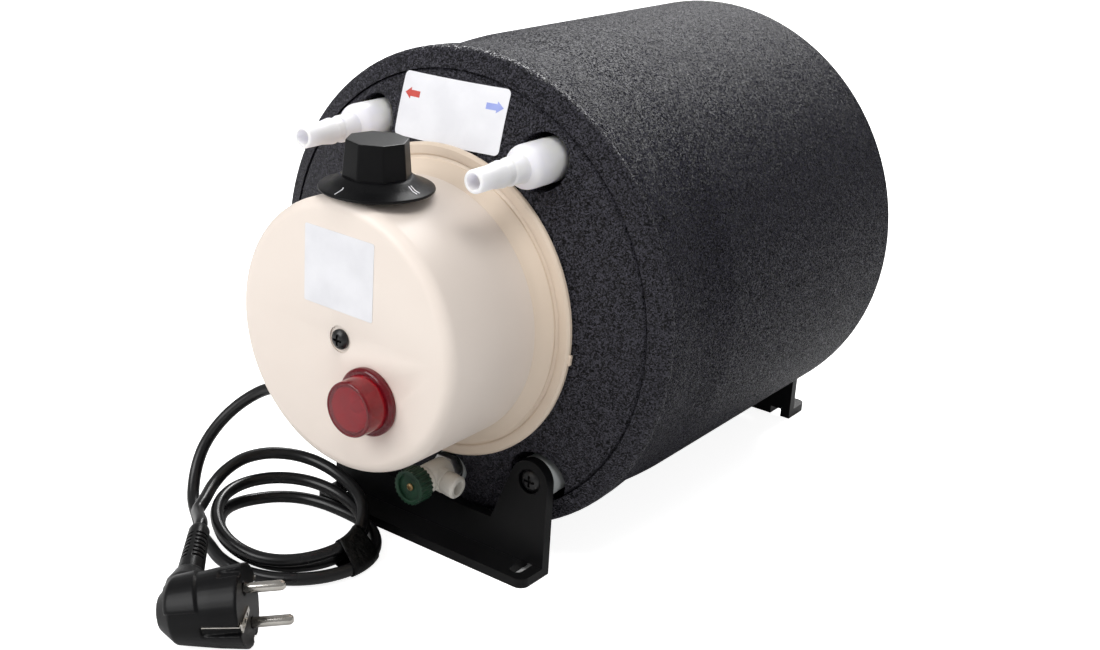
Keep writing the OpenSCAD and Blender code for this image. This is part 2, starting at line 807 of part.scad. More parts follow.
module lamp_body()
    color("#e6e2d6") lamp() {
        tube(lamp_body_d, lamp_body_d - 3, -lamp_depth, 2);
        hole(lamp_body_d - 2, -lamp_depth, -lamp_depth + 6);
        hole(8, -lamp_depth + 5, 0);
        for (side = [-1, 1]) translate([side * 4 - 0.4, -3, -lamp_depth - 9]) cube([0.8, 6, 10]);
    }

module neon_bulb()
    color("orange") lamp() turned([
        [0, 0], [neon_d / 2, 0], [neon_d / 2, neon_h * 0.75], [neon_d / 3, neon_h * 0.93], [0, neon_h]]);

module lamp_nut()
    color("#e6e2d6") lamp() tube(lamp_nut_d, lamp_body_d + 2 * slip, -cover_wall - lamp_nut_t, -cover_wall);

// Tapered strain relief in the cover's wall
module cable_gland() {
    flange_r = gland_flange_d / 2;
    neck_r = gland_neck_d / 2;
    inside = -cover_wall - 0.8;
    color("#1a1a1a") front() gland_place() turned([
        [0, inside - 2.5], [flange_r, inside - 2.5], [flange_r, inside], [neck_r, inside], [neck_r, 0.05],
        [flange_r, 0.05], [flange_r, 2.6], [neck_r + 0.5, 3.2], [neck_r + 0.1, gland_collar],
        [cord_r + 1, gland_reach], [0, gland_reach]]);
}

// Drain tap

module drain() front([drain_x, -drain_drop]) children();

module drain_outlet() translate([0, 0, outlet_z]) rotate([0, 0, outlet_tilt]) rotate([0, 90, 0]) children();

module drain_body()
    color("ivory") drain() difference() {
        union() {
            hole(tail_d, tank_front + 8, drain_body_z + 0.5);
            hole(drain_body_d, drain_body_z, bonnet_z);
            drain_outlet() turned([[0, 0], [outlet_root_d / 2, 0], [outlet_root_d / 2, outlet_root],
                                   [outlet_groove_d / 2, outlet_root],
                                   [outlet_groove_d / 2, outlet_root + outlet_groove],
                                   [outlet_d / 2, outlet_root + outlet_groove], [outlet_d / 2, outlet_reach - 1],
                                   [outlet_d / 2 - 1, outlet_reach], [0, outlet_reach]]);
        }
        hole(tail_bore, tank_front, chamber_z + 1);
        hole(chamber_d, chamber_z, bonnet_z + 1);
        drain_outlet() hole(outlet_bore, 0, outlet_reach + 1);
    }

module drain_seal() color("black") drain() tube(drain_neck_d - 2, tail_d + 2 * slip, drain_neck, drain_nut_z);

module drain_nut()
    color("gray") drain() difference() {
        translate([0, 0, drain_nut_z]) cylinder(d = drain_nut_af / cos(30), h = drain_nut_h, $fn = 6);
        hole(tail_d + 2 * slip, drain_nut_z - 1, drain_body_z + 1);
    }

module drain_bonnet()
    color("ivory") drain() difference() {
        union() {
            hole(drain_body_d - 1, bonnet_z, bonnet_z + bonnet_t);
            hole(chamber_d - 2 * fit, bonnet_z - 3, bonnet_z + 0.5);
        }
        hole(spindle_d + slip, bonnet_z - 4, bonnet_z + bonnet_t + 1);
    }

module drain_plug()
    color("black") drain() difference() {
        hole(chamber_d - 1.6, chamber_z, chamber_z + plug_t);
        hole(spindle_d - 1 + slip, chamber_z + 0.6, chamber_z + plug_t + 1);
    }

module drain_spindle()
    color("goldenrod") drain() {
        hole(spindle_d - 1, chamber_z + 0.7, chamber_z + plug_t + 0.5);
        hole(spindle_d, chamber_z + plug_t + 0.1, wheel_z + wheel_t - 4);
    }

module drain_wheel() {
    ribs = 24;
    rib_depth = 0.6;
    r = wheel_d / 2;
    outline = [for (i = [0 : ribs - 1], quarter = [0 : 3])
        let (a = 360 * (i + quarter / 4) / ribs, reach = quarter < 2 ? r : r - rib_depth)
            reach * [cos(a), sin(a)]];
    color("darkgreen") drain() difference() {
        translate([0, 0, wheel_z]) linear_extrude(wheel_t) polygon(outline);
        hole(wheel_d - 5, wheel_z + wheel_t - 1.6, wheel_z + wheel_t + 1);
        hole(spindle_d + slip, wheel_z - 1, wheel_z + wheel_t - 3.9);
        hole(2.2, wheel_z, wheel_z + wheel_t);
    }
}

module drain_wheel_screw()
    color("goldenrod") drain() translate([0, 0, wheel_z + wheel_t - 1.6]) screw(2, 2.2, 4, 1.2);

// Mains lead

function gland_end() =
    let (r = cover_r + gland_reach, a = gland_angle)
    [r * cos(a), seam_y - face_z + gland_set, axis_h + r * sin(a)];
function gland_dir() = [cos(gland_angle), 0, sin(gland_angle)];

// The coil's places one after the other, as angle, outwards and upwards
coil_knots = concat([[coil_start, coil_start_out, 0]],
    [for (k = [0 : coil_loops - 1], i = [0 : len(stations) - 1])
        [stations[i] + 360 * k, loop_out[k][i], loop_up[k][i]]]);
last_knot = len(coil_knots) - 1;
function knot_slope(i) =
    i == 0 || i == last_knot ? [0, 0, 0]
    : (coil_knots[i + 1] - coil_knots[i - 1]) / (coil_knots[i + 1][0] - coil_knots[i - 1][0]);
function knot_before(a, i = 0) = i == last_knot - 1 || a < coil_knots[i + 1][0] ? i : knot_before(a, i + 1);

// Smooth cubic between the places on either side of an angle
function coil_place(a) =
    let (i = knot_before(a), from = coil_knots[i], to = coil_knots[i + 1], span = to[0] - from[0],
         t = (a - from[0]) / span, rise = t * t * (3 - 2 * t))
    (1 - rise) * from + rise * to
    + span * t * (1 - t) * ((1 - t) * knot_slope(i) - t * knot_slope(i + 1));

function coil_point(a) =
    let (place = coil_place(a), r = coil_r + place[1])
    [coil_centre[0] + r * cos(a), coil_centre[1] + r * sin(a), cord_r + place[2]];

ring_step = (coil_end - coil_start) / ring_count;
coil_turns = [for (i = [0 : ring_count]) coil_point(coil_start + ring_step * i)];
coil_in = unit(coil_point(coil_start + 1) - coil_point(coil_start));
coil_out = unit(coil_point(coil_end) - coil_point(coil_end - 1));
coil_path = concat([coil_turns[0] - cord_d * coil_in], coil_turns,
                   [coil_turns[len(coil_turns) - 1] + cord_d * coil_out]);

// Least gap of the coil to itself, between rings half a loop or more apart
self_gap = min([for (i = [0 : len(coil_path) - 1], j = [0 : len(coil_path) - 1])
    if (j - i >= 12) norm(coil_path[j] - coil_path[i]) - cord_d]);
echo(coil_self_gap = self_gap);

lead_path = concat(
    [gland_end(), gland_end() + cord_d * gland_dir()], lead_points,
    [coil_path[0] - cord_d * coil_in, coil_path[0]]);
module cord_lead() color("#141414") swept(lead_path, cord_r, 10);

module cord_coil() color("#141414") swept(coil_path, cord_r, 6);

function turn_x(p, a) = [p[0], p[1] * cos(a) - p[2] * sin(a), p[1] * sin(a) + p[2] * cos(a)];
function turn_y(p, a) = [p[0] * cos(a) + p[2] * sin(a), p[1], p[2] * cos(a) - p[0] * sin(a)];
function turn_z(p, a) = [p[0] * cos(a) - p[1] * sin(a), p[0] * sin(a) + p[1] * cos(a), p[2]];
function plug_point(p) = plug_at + turn_z(turn_y(turn_x(p, plug_roll), -plug_tilt), plug_turn);
function relief_point(along) =
    plug_point([relief_x - along * sin(relief_lean), relief_from + along * cos(relief_lean), relief_lift]);

coil_last = coil_path[len(coil_path) - 1];
relief_end = relief_point(relief_len);
tail_path = [coil_last, coil_last + cord_d * coil_out, relief_point(relief_len + cord_d), relief_end];
module cord_tail() color("#141414") swept(tail_path, cord_r, 10);

// Tape round the three strands
module coil_tie() {
    width = 9;
    module strands(r)
        hull() for (i = [0 : coil_loops - 1])
            translate([coil_r + loop_out[i][tie_station], cord_r + loop_up[i][tie_station]])
                circle(r = r, $fn = 32);
    color("#101010") translate([coil_centre[0], coil_centre[1], 0]) rotate([90, 0, stations[tie_station]])
        translate([0, 0, -width / 2]) linear_extrude(width) difference() {
            strands(cord_r + tape_gap + tape_t);
            strands(cord_r + tape_gap);
        }
}

// Plug, in its own frame: x along the pins, y along the lead, z up
module plug()
    translate(plug_at) rotate([0, 0, plug_turn]) rotate([0, -plug_tilt, 0]) rotate([plug_roll, 0, 0]) children();

module plug_disc(x, r) translate([x, 0, 0]) rotate([0, 90, 0]) cylinder(r = r, h = 0.4, $fn = 40);

module relief_place()
    translate([relief_x, relief_from, relief_lift]) rotate([0, 0, relief_lean]) rotate([-90, 0, 0]) children();

module plug_body() {
    neck_r = relief_r + 1;
    color("#1c1c1c") plug() difference() {
        union() {
            hull() {
                plug_disc(-0.4, plug_r);
                plug_disc(-plug_waist, plug_waist_r);
                plug_disc(-plug_heel, plug_heel_r);
                plug_disc(-plug_back, plug_back_r);
            }
            hull() {
                translate([relief_x + 2, 2, 1]) rotate([-90, 0, 0]) cylinder(r = 11.5, h = 2, $fn = 32);
                relief_place() translate([0, 0, -2]) cylinder(r = neck_r, h = 2, $fn = 32);
            }
        }
        for (side = [-1, 1]) {
            translate([-notch_len, -notch_w / 2, side > 0 ? plug_r - notch_d : -plug_r - 1])
                cube([notch_len + 2, notch_w, notch_d + 1]);
            translate([-clip_len - 1, side > 0 ? groove_floor : -plug_r - 2, -clip_w / 2 - 0.4])
                cube([clip_len + 3, plug_r + 2 - groove_floor, clip_w + 0.8]);
            rotate([0, 90, 0]) translate([side * pin_gap / 2, 0, 0]) hole(pin_d + 2 * slip, -pin_seat - 0.5, 1);
        }
    }
}

// Tapered relief with slots that let it bend
module plug_relief() {
    slots = 7;
    pitch = 3.2;
    first = 9;
    end_r = cord_r + 1.4;
    color("#1c1c1c") plug() relief_place() difference() {
            turned([[0, 0.05], [relief_r, 0.6], [relief_r - 0.4, first - 3], [end_r + 0.4, relief_len - 1.5],
                    [end_r, relief_len - 0.3], [cord_r, relief_len], [0, relief_len]]);
            for (i = [0 : slots - 1], turn = [48, 132, 228, 312])
                rotate([0, 0, turn]) translate([cord_r + 0.9, -3, first + pitch * i]) cube([6, 6, 1.4]);
        }
}

module plug_pins()
    color("lightgray") plug() for (side = [-1, 1]) translate([0, 0, side * pin_gap / 2]) rotate([0, 90, 0])
        turned([[0, -pin_seat], [pin_d / 2, -pin_seat], [pin_d / 2, pin_len - 1.6], [pin_d * 0.31, pin_len - 0.3],
                [0, pin_len]]);

// Strips in the side grooves, the near one with a contact across the plug's face
module earth_clips() {
    contact = clip_deep - 1.5;
    color("lightgray") plug() {
        for (side = [-1, 1])
            translate([-clip_len, side * clip_deep - clip_t / 2, -clip_w / 2]) cube([clip_len + 0.4, clip_t, clip_w]);
        translate([0.05, -clip_deep - clip_t / 2, -clip_w / 2]) cube([clip_t, contact, clip_w]);
    }
}

insulation_sleeve();
front_insulation();
rear_insulation();
tank();
hot_nozzle();
cold_nozzle();
nozzle_seals();
hot_tube();
cold_tube();
front_bracket();
rear_bracket();
bracket_screws();
housing_base();
cover();
cover_screw();
cover_pillar();
heater_plate();
heater_gasket();
flange_bolts();
heating_element();
thermowell();
sensor_bulb();
thermostat_bracket();
thermostat_body();
thermostat_nut();
thermostat_shaft();
knob();
safety_cutout();
terminal_block();
lamp_lens();
lamp_body();
neon_bulb();
lamp_nut();
cable_gland();
drain_body();
drain_seal();
drain_nut();
drain_bonnet();
drain_plug();
drain_spindle();
drain_wheel();
drain_wheel_screw();
cord_lead();
cord_coil();
cord_tail();
coil_tie();
plug_body();
plug_relief();
plug_pins();
earth_clips();
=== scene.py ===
# %% [markdown]
# # A caravan water heater
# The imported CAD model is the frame: every node already sits where it belongs, in metres, with +Z
# up and the housing facing -Y. This script dresses it. Some nodes only get a finish, and the ones
# with soft edges or fine forms are remodelled over the same sizes.

# %% Load the frame
import json
import math

import bmesh
import bpy
from mathutils import Matrix, Vector


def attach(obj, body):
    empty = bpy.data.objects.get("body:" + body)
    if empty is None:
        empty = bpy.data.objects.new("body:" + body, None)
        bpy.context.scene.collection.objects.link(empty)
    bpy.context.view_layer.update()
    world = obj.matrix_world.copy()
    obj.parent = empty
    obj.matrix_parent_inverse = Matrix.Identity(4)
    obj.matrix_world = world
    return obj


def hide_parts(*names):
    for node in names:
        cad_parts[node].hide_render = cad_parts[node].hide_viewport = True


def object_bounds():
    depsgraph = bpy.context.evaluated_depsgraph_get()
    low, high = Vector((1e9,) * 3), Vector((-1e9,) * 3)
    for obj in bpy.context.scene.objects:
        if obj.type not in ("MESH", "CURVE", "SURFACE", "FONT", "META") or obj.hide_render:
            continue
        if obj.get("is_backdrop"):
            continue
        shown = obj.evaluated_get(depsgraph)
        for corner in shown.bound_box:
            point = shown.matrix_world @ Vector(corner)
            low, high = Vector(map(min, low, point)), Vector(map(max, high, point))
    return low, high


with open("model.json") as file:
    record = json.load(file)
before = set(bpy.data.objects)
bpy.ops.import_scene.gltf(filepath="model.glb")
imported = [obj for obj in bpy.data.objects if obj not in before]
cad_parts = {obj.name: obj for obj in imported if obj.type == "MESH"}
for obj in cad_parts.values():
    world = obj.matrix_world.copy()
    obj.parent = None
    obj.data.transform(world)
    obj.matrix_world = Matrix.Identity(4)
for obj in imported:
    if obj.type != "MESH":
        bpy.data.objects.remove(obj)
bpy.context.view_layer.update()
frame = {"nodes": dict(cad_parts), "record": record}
nodes = frame["nodes"]
scene = bpy.context.scene
MM = 0.001
METRE_MM = 1000
print("nodes in the frame:", len(nodes))

# %% [markdown]
# The camera stands to the right of the housing and a little above it. Its direction, roll and
# focal length were fitted to the round edges of the object, so the render lines up with the picture.

# %% Camera
SENSOR_WIDTH = 36.0
FOCAL_LENGTH = 49.0
CAMERA_PLACE = Vector((0.4413, -0.6293, 0.3829))
CAMERA_AZIMUTH = math.radians(35.23)
CAMERA_ELEVATION = math.radians(20.97)
CAMERA_ROLL = math.radians(3.48)
NEAR_CLIP = 0.01

back = Vector((
    math.sin(CAMERA_AZIMUTH) * math.cos(CAMERA_ELEVATION),
    -math.cos(CAMERA_AZIMUTH) * math.cos(CAMERA_ELEVATION),
    math.sin(CAMERA_ELEVATION),
))
level = Vector((math.cos(CAMERA_AZIMUTH), math.sin(CAMERA_AZIMUTH), 0))
upright = back.cross(level)
right = level * math.cos(CAMERA_ROLL) + upright * math.sin(CAMERA_ROLL)
up = back.cross(right)

camera_data = bpy.data.cameras.new("camera")
camera_data.sensor_width = SENSOR_WIDTH
camera_data.sensor_fit = "HORIZONTAL"
camera_data.lens = FOCAL_LENGTH
camera_data.clip_start = NEAR_CLIP
camera = bpy.data.objects.new("camera", camera_data)
turn = Matrix((right, up, back)).transposed().to_4x4()
camera.matrix_world = Matrix.Translation(CAMERA_PLACE) @ turn
scene.collection.objects.link(camera)
scene.camera = camera
print("camera at", [round(v, 3) for v in CAMERA_PLACE])

# %% [markdown]
# The mains lead is one cord: out of the gland behind the cover, down to the floor, round in three
# loops that are taped together at the right, and on to the plug. A stiff lead that is held at one
# place only fans out elsewhere, so each loop has its own place at six angles, outwards and upwards,
# and a smooth cubic joins them. The CAD solid follows the same rule with the same numbers.

# %% The coil's rule
SEAM_Y = -86.2282
AXIS_H = 128.0
CORD_D = 6.4
CORD_R = CORD_D / 2
COIL_CENTRE = (-47.5, -150.0)
COIL_R = 39.5
COIL_START = 242
COIL_START_OUT = 4.5
COIL_END = 1295
RING_COUNT = 70
TAPE_UP = 2.1
STATIONS = (290, 345, 395, 450, 520, 575)
LOOP_OUT = ((6, 10, 0.5, -8, -1, -0.5), (-5.5, -3.5, -5.5, -7.5, 0.5, 0), (0.5, 0, -5.5, -5, 8, 6.5))
LOOP_UP = (
    (0, TAPE_UP, 0.5, 0.5, 2, 6),
    (0.5, TAPE_UP, 5.5, 9, 12.5, 13.5),
    (6.5, TAPE_UP + 7, 12.5, 17.5, 23.5, 17),
)

coil_knots = [Vector((COIL_START, COIL_START_OUT, 0))]
for loop, (outs, ups) in enumerate(zip(LOOP_OUT, LOOP_UP)):
    coil_knots += [Vector((a + 360 * loop, o, u)) for a, o, u in zip(STATIONS, outs, ups)]
coil_slopes = [Vector((0, 0, 0)) for _ in coil_knots]
for i in range(1, len(coil_knots) - 1):
    step = coil_knots[i + 1] - coil_knots[i - 1]
    coil_slopes[i] = step / step.x


def coil_point(angle):
    i = max(k for k in range(len(coil_knots) - 1) if k == 0 or coil_knots[k].x <= angle)
    here, there = coil_knots[i], coil_knots[i + 1]
    span = there.x - here.x
    t = (angle - here.x) / span
    rise = t * t * (3 - 2 * t)
    place = here.lerp(there, rise)
    place += span * t * (1 - t) * ((1 - t) * coil_slopes[i] - t * coil_slopes[i + 1])
    turned = math.radians(angle)
    radius = COIL_R + place.y
    return Vector((
        COIL_CENTRE[0] + radius * math.cos(turned),
        COIL_CENTRE[1] + radius * math.sin(turned),
        CORD_R + max(0.0, place.z),
    ))


ring_step = (COIL_END - COIL_START) / RING_COUNT
coil_points = [coil_point(COIL_START + ring_step * i) for i in range(RING_COUNT + 1)]
print("rings of the coil:", len(coil_points))

# %% [markdown]
# Before the coil the lead drops from its gland to the floor, and after it the lead runs straight into
# the plug's relief. The plug lies on its rounded side, so it is turned, tilted and rolled.

# %% The lead's route
COVER_R = 65.5
COVER_FACE = 82.5436
GLAND_ANGLE = math.radians(217)
GLAND_REACH = 25.0
GLAND_SET = 38.0
LEAD_POINTS = [
    (-91, -132, 63), (-102, -137, 54), (-110, -144, 43), (-115, -151, 30),
    (-114, -158, 18), (-106, -167, 8), (-93, -175, 4),
]
PLUG_PLACE = Vector((6, -232.5, 20.2))
PLUG_TURN = math.radians(35)
PLUG_TILT = math.radians(9.5)
PLUG_ROLL = math.radians(6)
RELIEF_X = -31.5
RELIEF_FROM = 23.0
RELIEF_LIFT = 2.0
RELIEF_LEN = 38.0
RELIEF_LEAN = math.radians(6)
ROUTE_PARTS = 4
TINY = 1e-6

plug_frame = Matrix.Translation(PLUG_PLACE) @ Matrix.Rotation(PLUG_TURN, 4, "Z")
plug_frame = plug_frame @ Matrix.Rotation(-PLUG_TILT, 4, "Y") @ Matrix.Rotation(PLUG_ROLL, 4, "X")


def relief_point(along):
    return plug_frame @ Vector((
        RELIEF_X - along * math.sin(RELIEF_LEAN),
        RELIEF_FROM + along * math.cos(RELIEF_LEAN),
        RELIEF_LIFT,
    ))


gland_out = Vector((math.cos(GLAND_ANGLE), 0, math.sin(GLAND_ANGLE)))
gland_end = gland_out * (COVER_R + GLAND_REACH)
gland_end += Vector((0, SEAM_Y - COVER_FACE + GLAND_SET, AXIS_H))
coil_in = (coil_points[1] - coil_points[0]).normalized()
coil_out = (coil_points[-1] - coil_points[-2]).normalized()
knots = [gland_end, gland_end + CORD_D * gland_out]
knots += [Vector(p) for p in LEAD_POINTS]
knots += [coil_points[0] - 2 * CORD_D * coil_in, coil_points[0] - CORD_D * coil_in]
knots += coil_points
knots += [coil_points[-1] + CORD_D * coil_out, coil_points[-1] + 2 * CORD_D * coil_out]
knots += [relief_point(RELIEF_LEN + CORD_D), relief_point(RELIEF_LEN)]


def smooth_route(points, parts):
    """Points of a smooth curve through all the given ones."""
    route = []
    ends = [2 * points[0] - points[1], *points, 2 * points[-1] - points[-2]]
    for before, a, b, after in zip(ends, ends[1:], ends[2:], ends[3:]):
        pace = (b - a).length
        leave = (b - before) * pace / max((b - a).length + (a - before).length, TINY)
        reach = (after - a) * pace / max((after - b).length + (b - a).length, TINY)
        for i in range(parts):
            t = i / parts
            route.append(
                (2 * t**3 - 3 * t**2 + 1) * a + (t**3 - 2 * t**2 + t) * leave
                + (3 * t**2 - 2 * t**3) * b + (t**3 - t**2) * reach
            )
    return [*route, points[-1]]


route = [p * MM for p in smooth_route(knots, ROUTE_PARTS)]

# %% [markdown]
# A curve with a round bevel gives the lead one diameter everywhere. It is then made a mesh, so that
# its box is measured exactly, and the points of the route go with it.

# %% The lead
CORD_ROUND_STEPS = 6
curve = bpy.data.curves.new("lead_line", "CURVE")
curve.dimensions = "3D"
curve.bevel_depth = CORD_R * MM
curve.bevel_resolution = CORD_ROUND_STEPS
curve.use_fill_caps = True
spline = curve.splines.new("POLY")
spline.points.add(len(route) - 1)
for point, place in zip(spline.points, route):
    point.co = (*place, 1)
spline.use_smooth = True
lead_line = bpy.data.objects.new("lead_line", curve)
scene.collection.objects.link(lead_line)
shown = lead_line.evaluated_get(bpy.context.evaluated_depsgraph_get())
lead_mesh = bpy.data.meshes.new_from_object(shown)
bpy.data.objects.remove(lead_line)
bpy.data.curves.remove(curve)
lead_mesh.name = "mains_lead"
lead_mesh.materials.clear()
mains_lead = bpy.data.objects.new("mains_lead", lead_mesh)
scene.collection.objects.link(mains_lead)
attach(mains_lead, "heater")
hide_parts("cord_lead", "cord_coil", "cord_tail")
print("faces of the lead:", len(lead_mesh.polygons))

# %% [markdown]
# The light is a plain studio: a wide soft lamp from the upper left in front, one from behind that skims
# the barrel, a weak one from the right, one overhead, and an even surround. The last two lamps don't
# show in gloss. The surround is white for the camera and through glass, lights the piece evenly, and is
# grey in reflections, so that black plastic stays black. The floor adds some white of its own for the
# camera, so the ground is clean and still takes a light shadow; in reflections it is darker. Under the
# front foot it adds none and its colour is darker, a painted shade, so the slots for the screws stay dark.

# %% Floor, surround and lamps
FLOOR_SIZE = 6.0
FLOOR_GLOW = 0.88
AMBIENT = 0.32
REFLECTED = 0.3
FLOOR_WHITE = (0.72, 0.72, 0.72, 1)
# The floor's colour in reflections, and its painted shade under the front foot.
FLOOR_MIRRORED_AND_PAINTED_SHADE = (0.6, 0.6, 0.6, 1)
FLOOR_ROUGH = 0.9
FLOOR_SHINE = 0.1
WHITE = (1, 1, 1, 1)
# The patch of painted shade under the front foot: the foot's box, inset at its edge and reaching further
# behind.
PAINTED_SHADE_INSET_MM = 11.0
PAINTED_SHADE_BEHIND_MM = 24.0
work = bmesh.new()
bmesh.ops.create_grid(work, x_segments=1, y_segments=1, size=FLOOR_SIZE)
floor_mesh = bpy.data.meshes.new("floor")
work.to_mesh(floor_mesh)
work.free()
floor = bpy.data.objects.new("floor", floor_mesh)
scene.collection.objects.link(floor)
floor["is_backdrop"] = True


def combine(tree, operation, first, second):
    """A Math node of two links or numbers."""
    node = tree.nodes.new("ShaderNodeMath")
    node.operation = operation
    for socket, value in zip(node.inputs, (first, second)):
        if isinstance(value, bpy.types.NodeSocket):
            tree.links.new(value, socket)
        else:
            socket.default_value = value
    return node.outputs["Value"]


def seen_directly(tree, rays):
    """1 for a ray from the camera, also after glass."""
    return combine(tree, "MAXIMUM", rays.outputs["Is Camera Ray"], rays.outputs["Is Transmission Ray"])


floor_paint = bpy.data.materials.new("floor_paint")
floor_paint.use_nodes = True
tree = floor_paint.node_tree
shade = tree.nodes["Principled BSDF"]
shade.inputs["Roughness"].default_value = FLOOR_ROUGH
shade.inputs["Specular IOR Level"].default_value = FLOOR_SHINE
shade.inputs["Emission Color"].default_value = WHITE
rays = tree.nodes.new("ShaderNodeLightPath")
paint_mix = tree.nodes.new("ShaderNodeMix")
paint_mix.data_type = "RGBA"
paint_mix.inputs["A"].default_value = FLOOR_WHITE
paint_mix.inputs["B"].default_value = FLOOR_MIRRORED_AND_PAINTED_SHADE
tree.links.new(paint_mix.outputs["Result"], shade.inputs["Base Color"])

foot = [v.co for v in nodes["front_bracket"].data.vertices if v.co.z < MM]
painted_shade_low = [min(p[i] for p in foot) for i in range(2)]
painted_shade_high = [max(p[i] for p in foot) for i in range(2)]
painted_shade_high[1] += PAINTED_SHADE_BEHIND_MM * MM
place = tree.nodes.new("ShaderNodeSeparateXYZ")
tree.links.new(tree.nodes.new("ShaderNodeTexCoord").outputs["Object"], place.inputs["Vector"])
open_floor = 0.0
for axis, low, high in zip("XY", painted_shade_low, painted_shade_high):
    offset = combine(tree, "SUBTRACT", place.outputs[axis], (low + high) / 2)
    away = combine(tree, "ABSOLUTE", offset, 0)
    outside = combine(tree, "GREATER_THAN", away, (high - low) / 2 - PAINTED_SHADE_INSET_MM * MM)
    open_floor = combine(tree, "MAXIMUM", open_floor, outside)
# Painted shade: under the front foot the floor takes the darker colour and no glow.
painted_shade_under_foot = combine(tree, "SUBTRACT", 1.0, open_floor)
mirrored_or_painted_shade = combine(tree, "MAXIMUM", painted_shade_under_foot, rays.outputs["Is Glossy Ray"])
tree.links.new(mirrored_or_painted_shade, paint_mix.inputs["Factor"])
lit = combine(tree, "MULTIPLY", seen_directly(tree, rays), FLOOR_GLOW)
glow = combine(tree, "MULTIPLY", lit, open_floor)
tree.links.new(glow, shade.inputs["Emission Strength"])
floor_mesh.materials.append(floor_paint)

world = bpy.data.worlds.new("surround")
scene.world = world
world.use_nodes = True
tree = world.node_tree
surround = tree.nodes["Background"]
surround.inputs["Color"].default_value = WHITE
rays = tree.nodes.new("ShaderNodeLightPath")
dimmed = combine(tree, "MULTIPLY", rays.outputs["Is Glossy Ray"], REFLECTED - AMBIENT)
lit = combine(tree, "ADD", dimmed, AMBIENT)
seen = combine(tree, "MAXIMUM", lit, seen_directly(tree, rays))
tree.links.new(seen, surround.inputs["Strength"])
scene.view_settings.view_transform = "Standard"

# Each lamp: its place, the point it faces, its size, its power in watts, and whether gloss shows it.
LAMPS = {
    "key_lamp": ((-0.55, -1.35, 0.95), (0, -0.1, 0.13), (1.1, 0.9), 14.7, True),
    "top_lamp": ((-0.4, 1.24, 1.2), (0, 0, 0.13), (1.2, 0.7), 42, True),
    "side_lamp": ((1.35, -0.35, 0.65), (0, 0, 0.12), (0.7, 0.9), 0.9, False),
    "over_lamp": ((0.35, -0.45, 1.4), (0, -0.1, 0.15), (0.8, 0.6), 9.4, False),
}
for name, (place, target, size, power, mirrored) in LAMPS.items():
    data = bpy.data.lights.new(name, "AREA")
    data.shape = "RECTANGLE"
    data.size, data.size_y = size
    data.energy = power
    lamp = bpy.data.objects.new(name, data)
    aim = Vector(place) - Vector(target)
    lamp.matrix_world = Matrix.Translation(place) @ aim.to_track_quat("Z", "Y").to_matrix().to_4x4()
    lamp.visible_glossy = mirrored
    scene.collection.objects.link(lamp)
print("lamps in place:", len(LAMPS))

# %% [markdown]
# Finishes. Each one is a small node tree on Object coordinates, so a pattern keeps its size in
# millimetres on every piece: a slow noise changes the colour a little, and a finer one changes the
# roughness and lifts the surface. Values that are the same all over stay on the shader itself.

# %% Finish helper
PATCH_RAMP = (0.35, 0.65)
PATCH_DETAIL = 4
GRAIN_DETAIL = 3


def finish(name, dark, light, patch_mm, rough, grain_mm, lift, **constants):
    """Plastic, rubber or metal with a little change in colour, gloss and surface."""
    paint = bpy.data.materials.new(name)
    paint.use_nodes = True
    nodes_, links = paint.node_tree.nodes, paint.node_tree.links
    shader = nodes_["Principled BSDF"]
    where = nodes_.new("ShaderNodeTexCoord").outputs["Object"]

    patches = nodes_.new("ShaderNodeTexNoise")
    patches.inputs["Scale"].default_value = METRE_MM / patch_mm
    patches.inputs["Detail"].default_value = PATCH_DETAIL
    links.new(where, patches.inputs["Vector"])
    colours = nodes_.new("ShaderNodeValToRGB")
    for stop, position, colour in zip(colours.color_ramp.elements, PATCH_RAMP, (dark, light)):
        stop.position = position
        stop.color = (*colour, 1)
    links.new(patches.outputs["Fac"], colours.inputs["Fac"])
    links.new(colours.outputs["Color"], shader.inputs["Base Color"])

    grain = nodes_.new("ShaderNodeTexNoise")
    grain.inputs["Scale"].default_value = METRE_MM / grain_mm
    grain.inputs["Detail"].default_value = GRAIN_DETAIL
    links.new(where, grain.inputs["Vector"])
    gloss = nodes_.new("ShaderNodeMapRange")
    gloss.inputs["To Min"].default_value = rough[0]
    gloss.inputs["To Max"].default_value = rough[1]
    links.new(grain.outputs["Fac"], gloss.inputs["Value"])
    links.new(gloss.outputs["Result"], shader.inputs["Roughness"])

    bump = nodes_.new("ShaderNodeBump")
    bump.inputs["Strength"].default_value = lift
    bump.inputs["Distance"].default_value = grain_mm * MM
    links.new(grain.outputs["Fac"], bump.inputs["Height"])
    links.new(bump.outputs["Normal"], shader.inputs["Normal"])
    for socket, value in constants.items():
        shader.inputs[socket.replace("_", " ")].default_value = value
    return paint


# %% [markdown]
# The foam has a skin of small burst cells. Seen close, each cell is a tiny facet that leans its own way
# and has its own grey, so the surface sparkles finely. The cells of a Voronoi pattern give both: their
# random colour picks the grey, and the same colour tilts the normal.

# %% Foam finish
CELL_MM = 0.55
CELL_TILT = 1.5
CELL_RAMP_START = 0.25
CELL_ROUGH = (0.6, 0.3)
MIDDLE = (0.5, 0.5, 0.5)


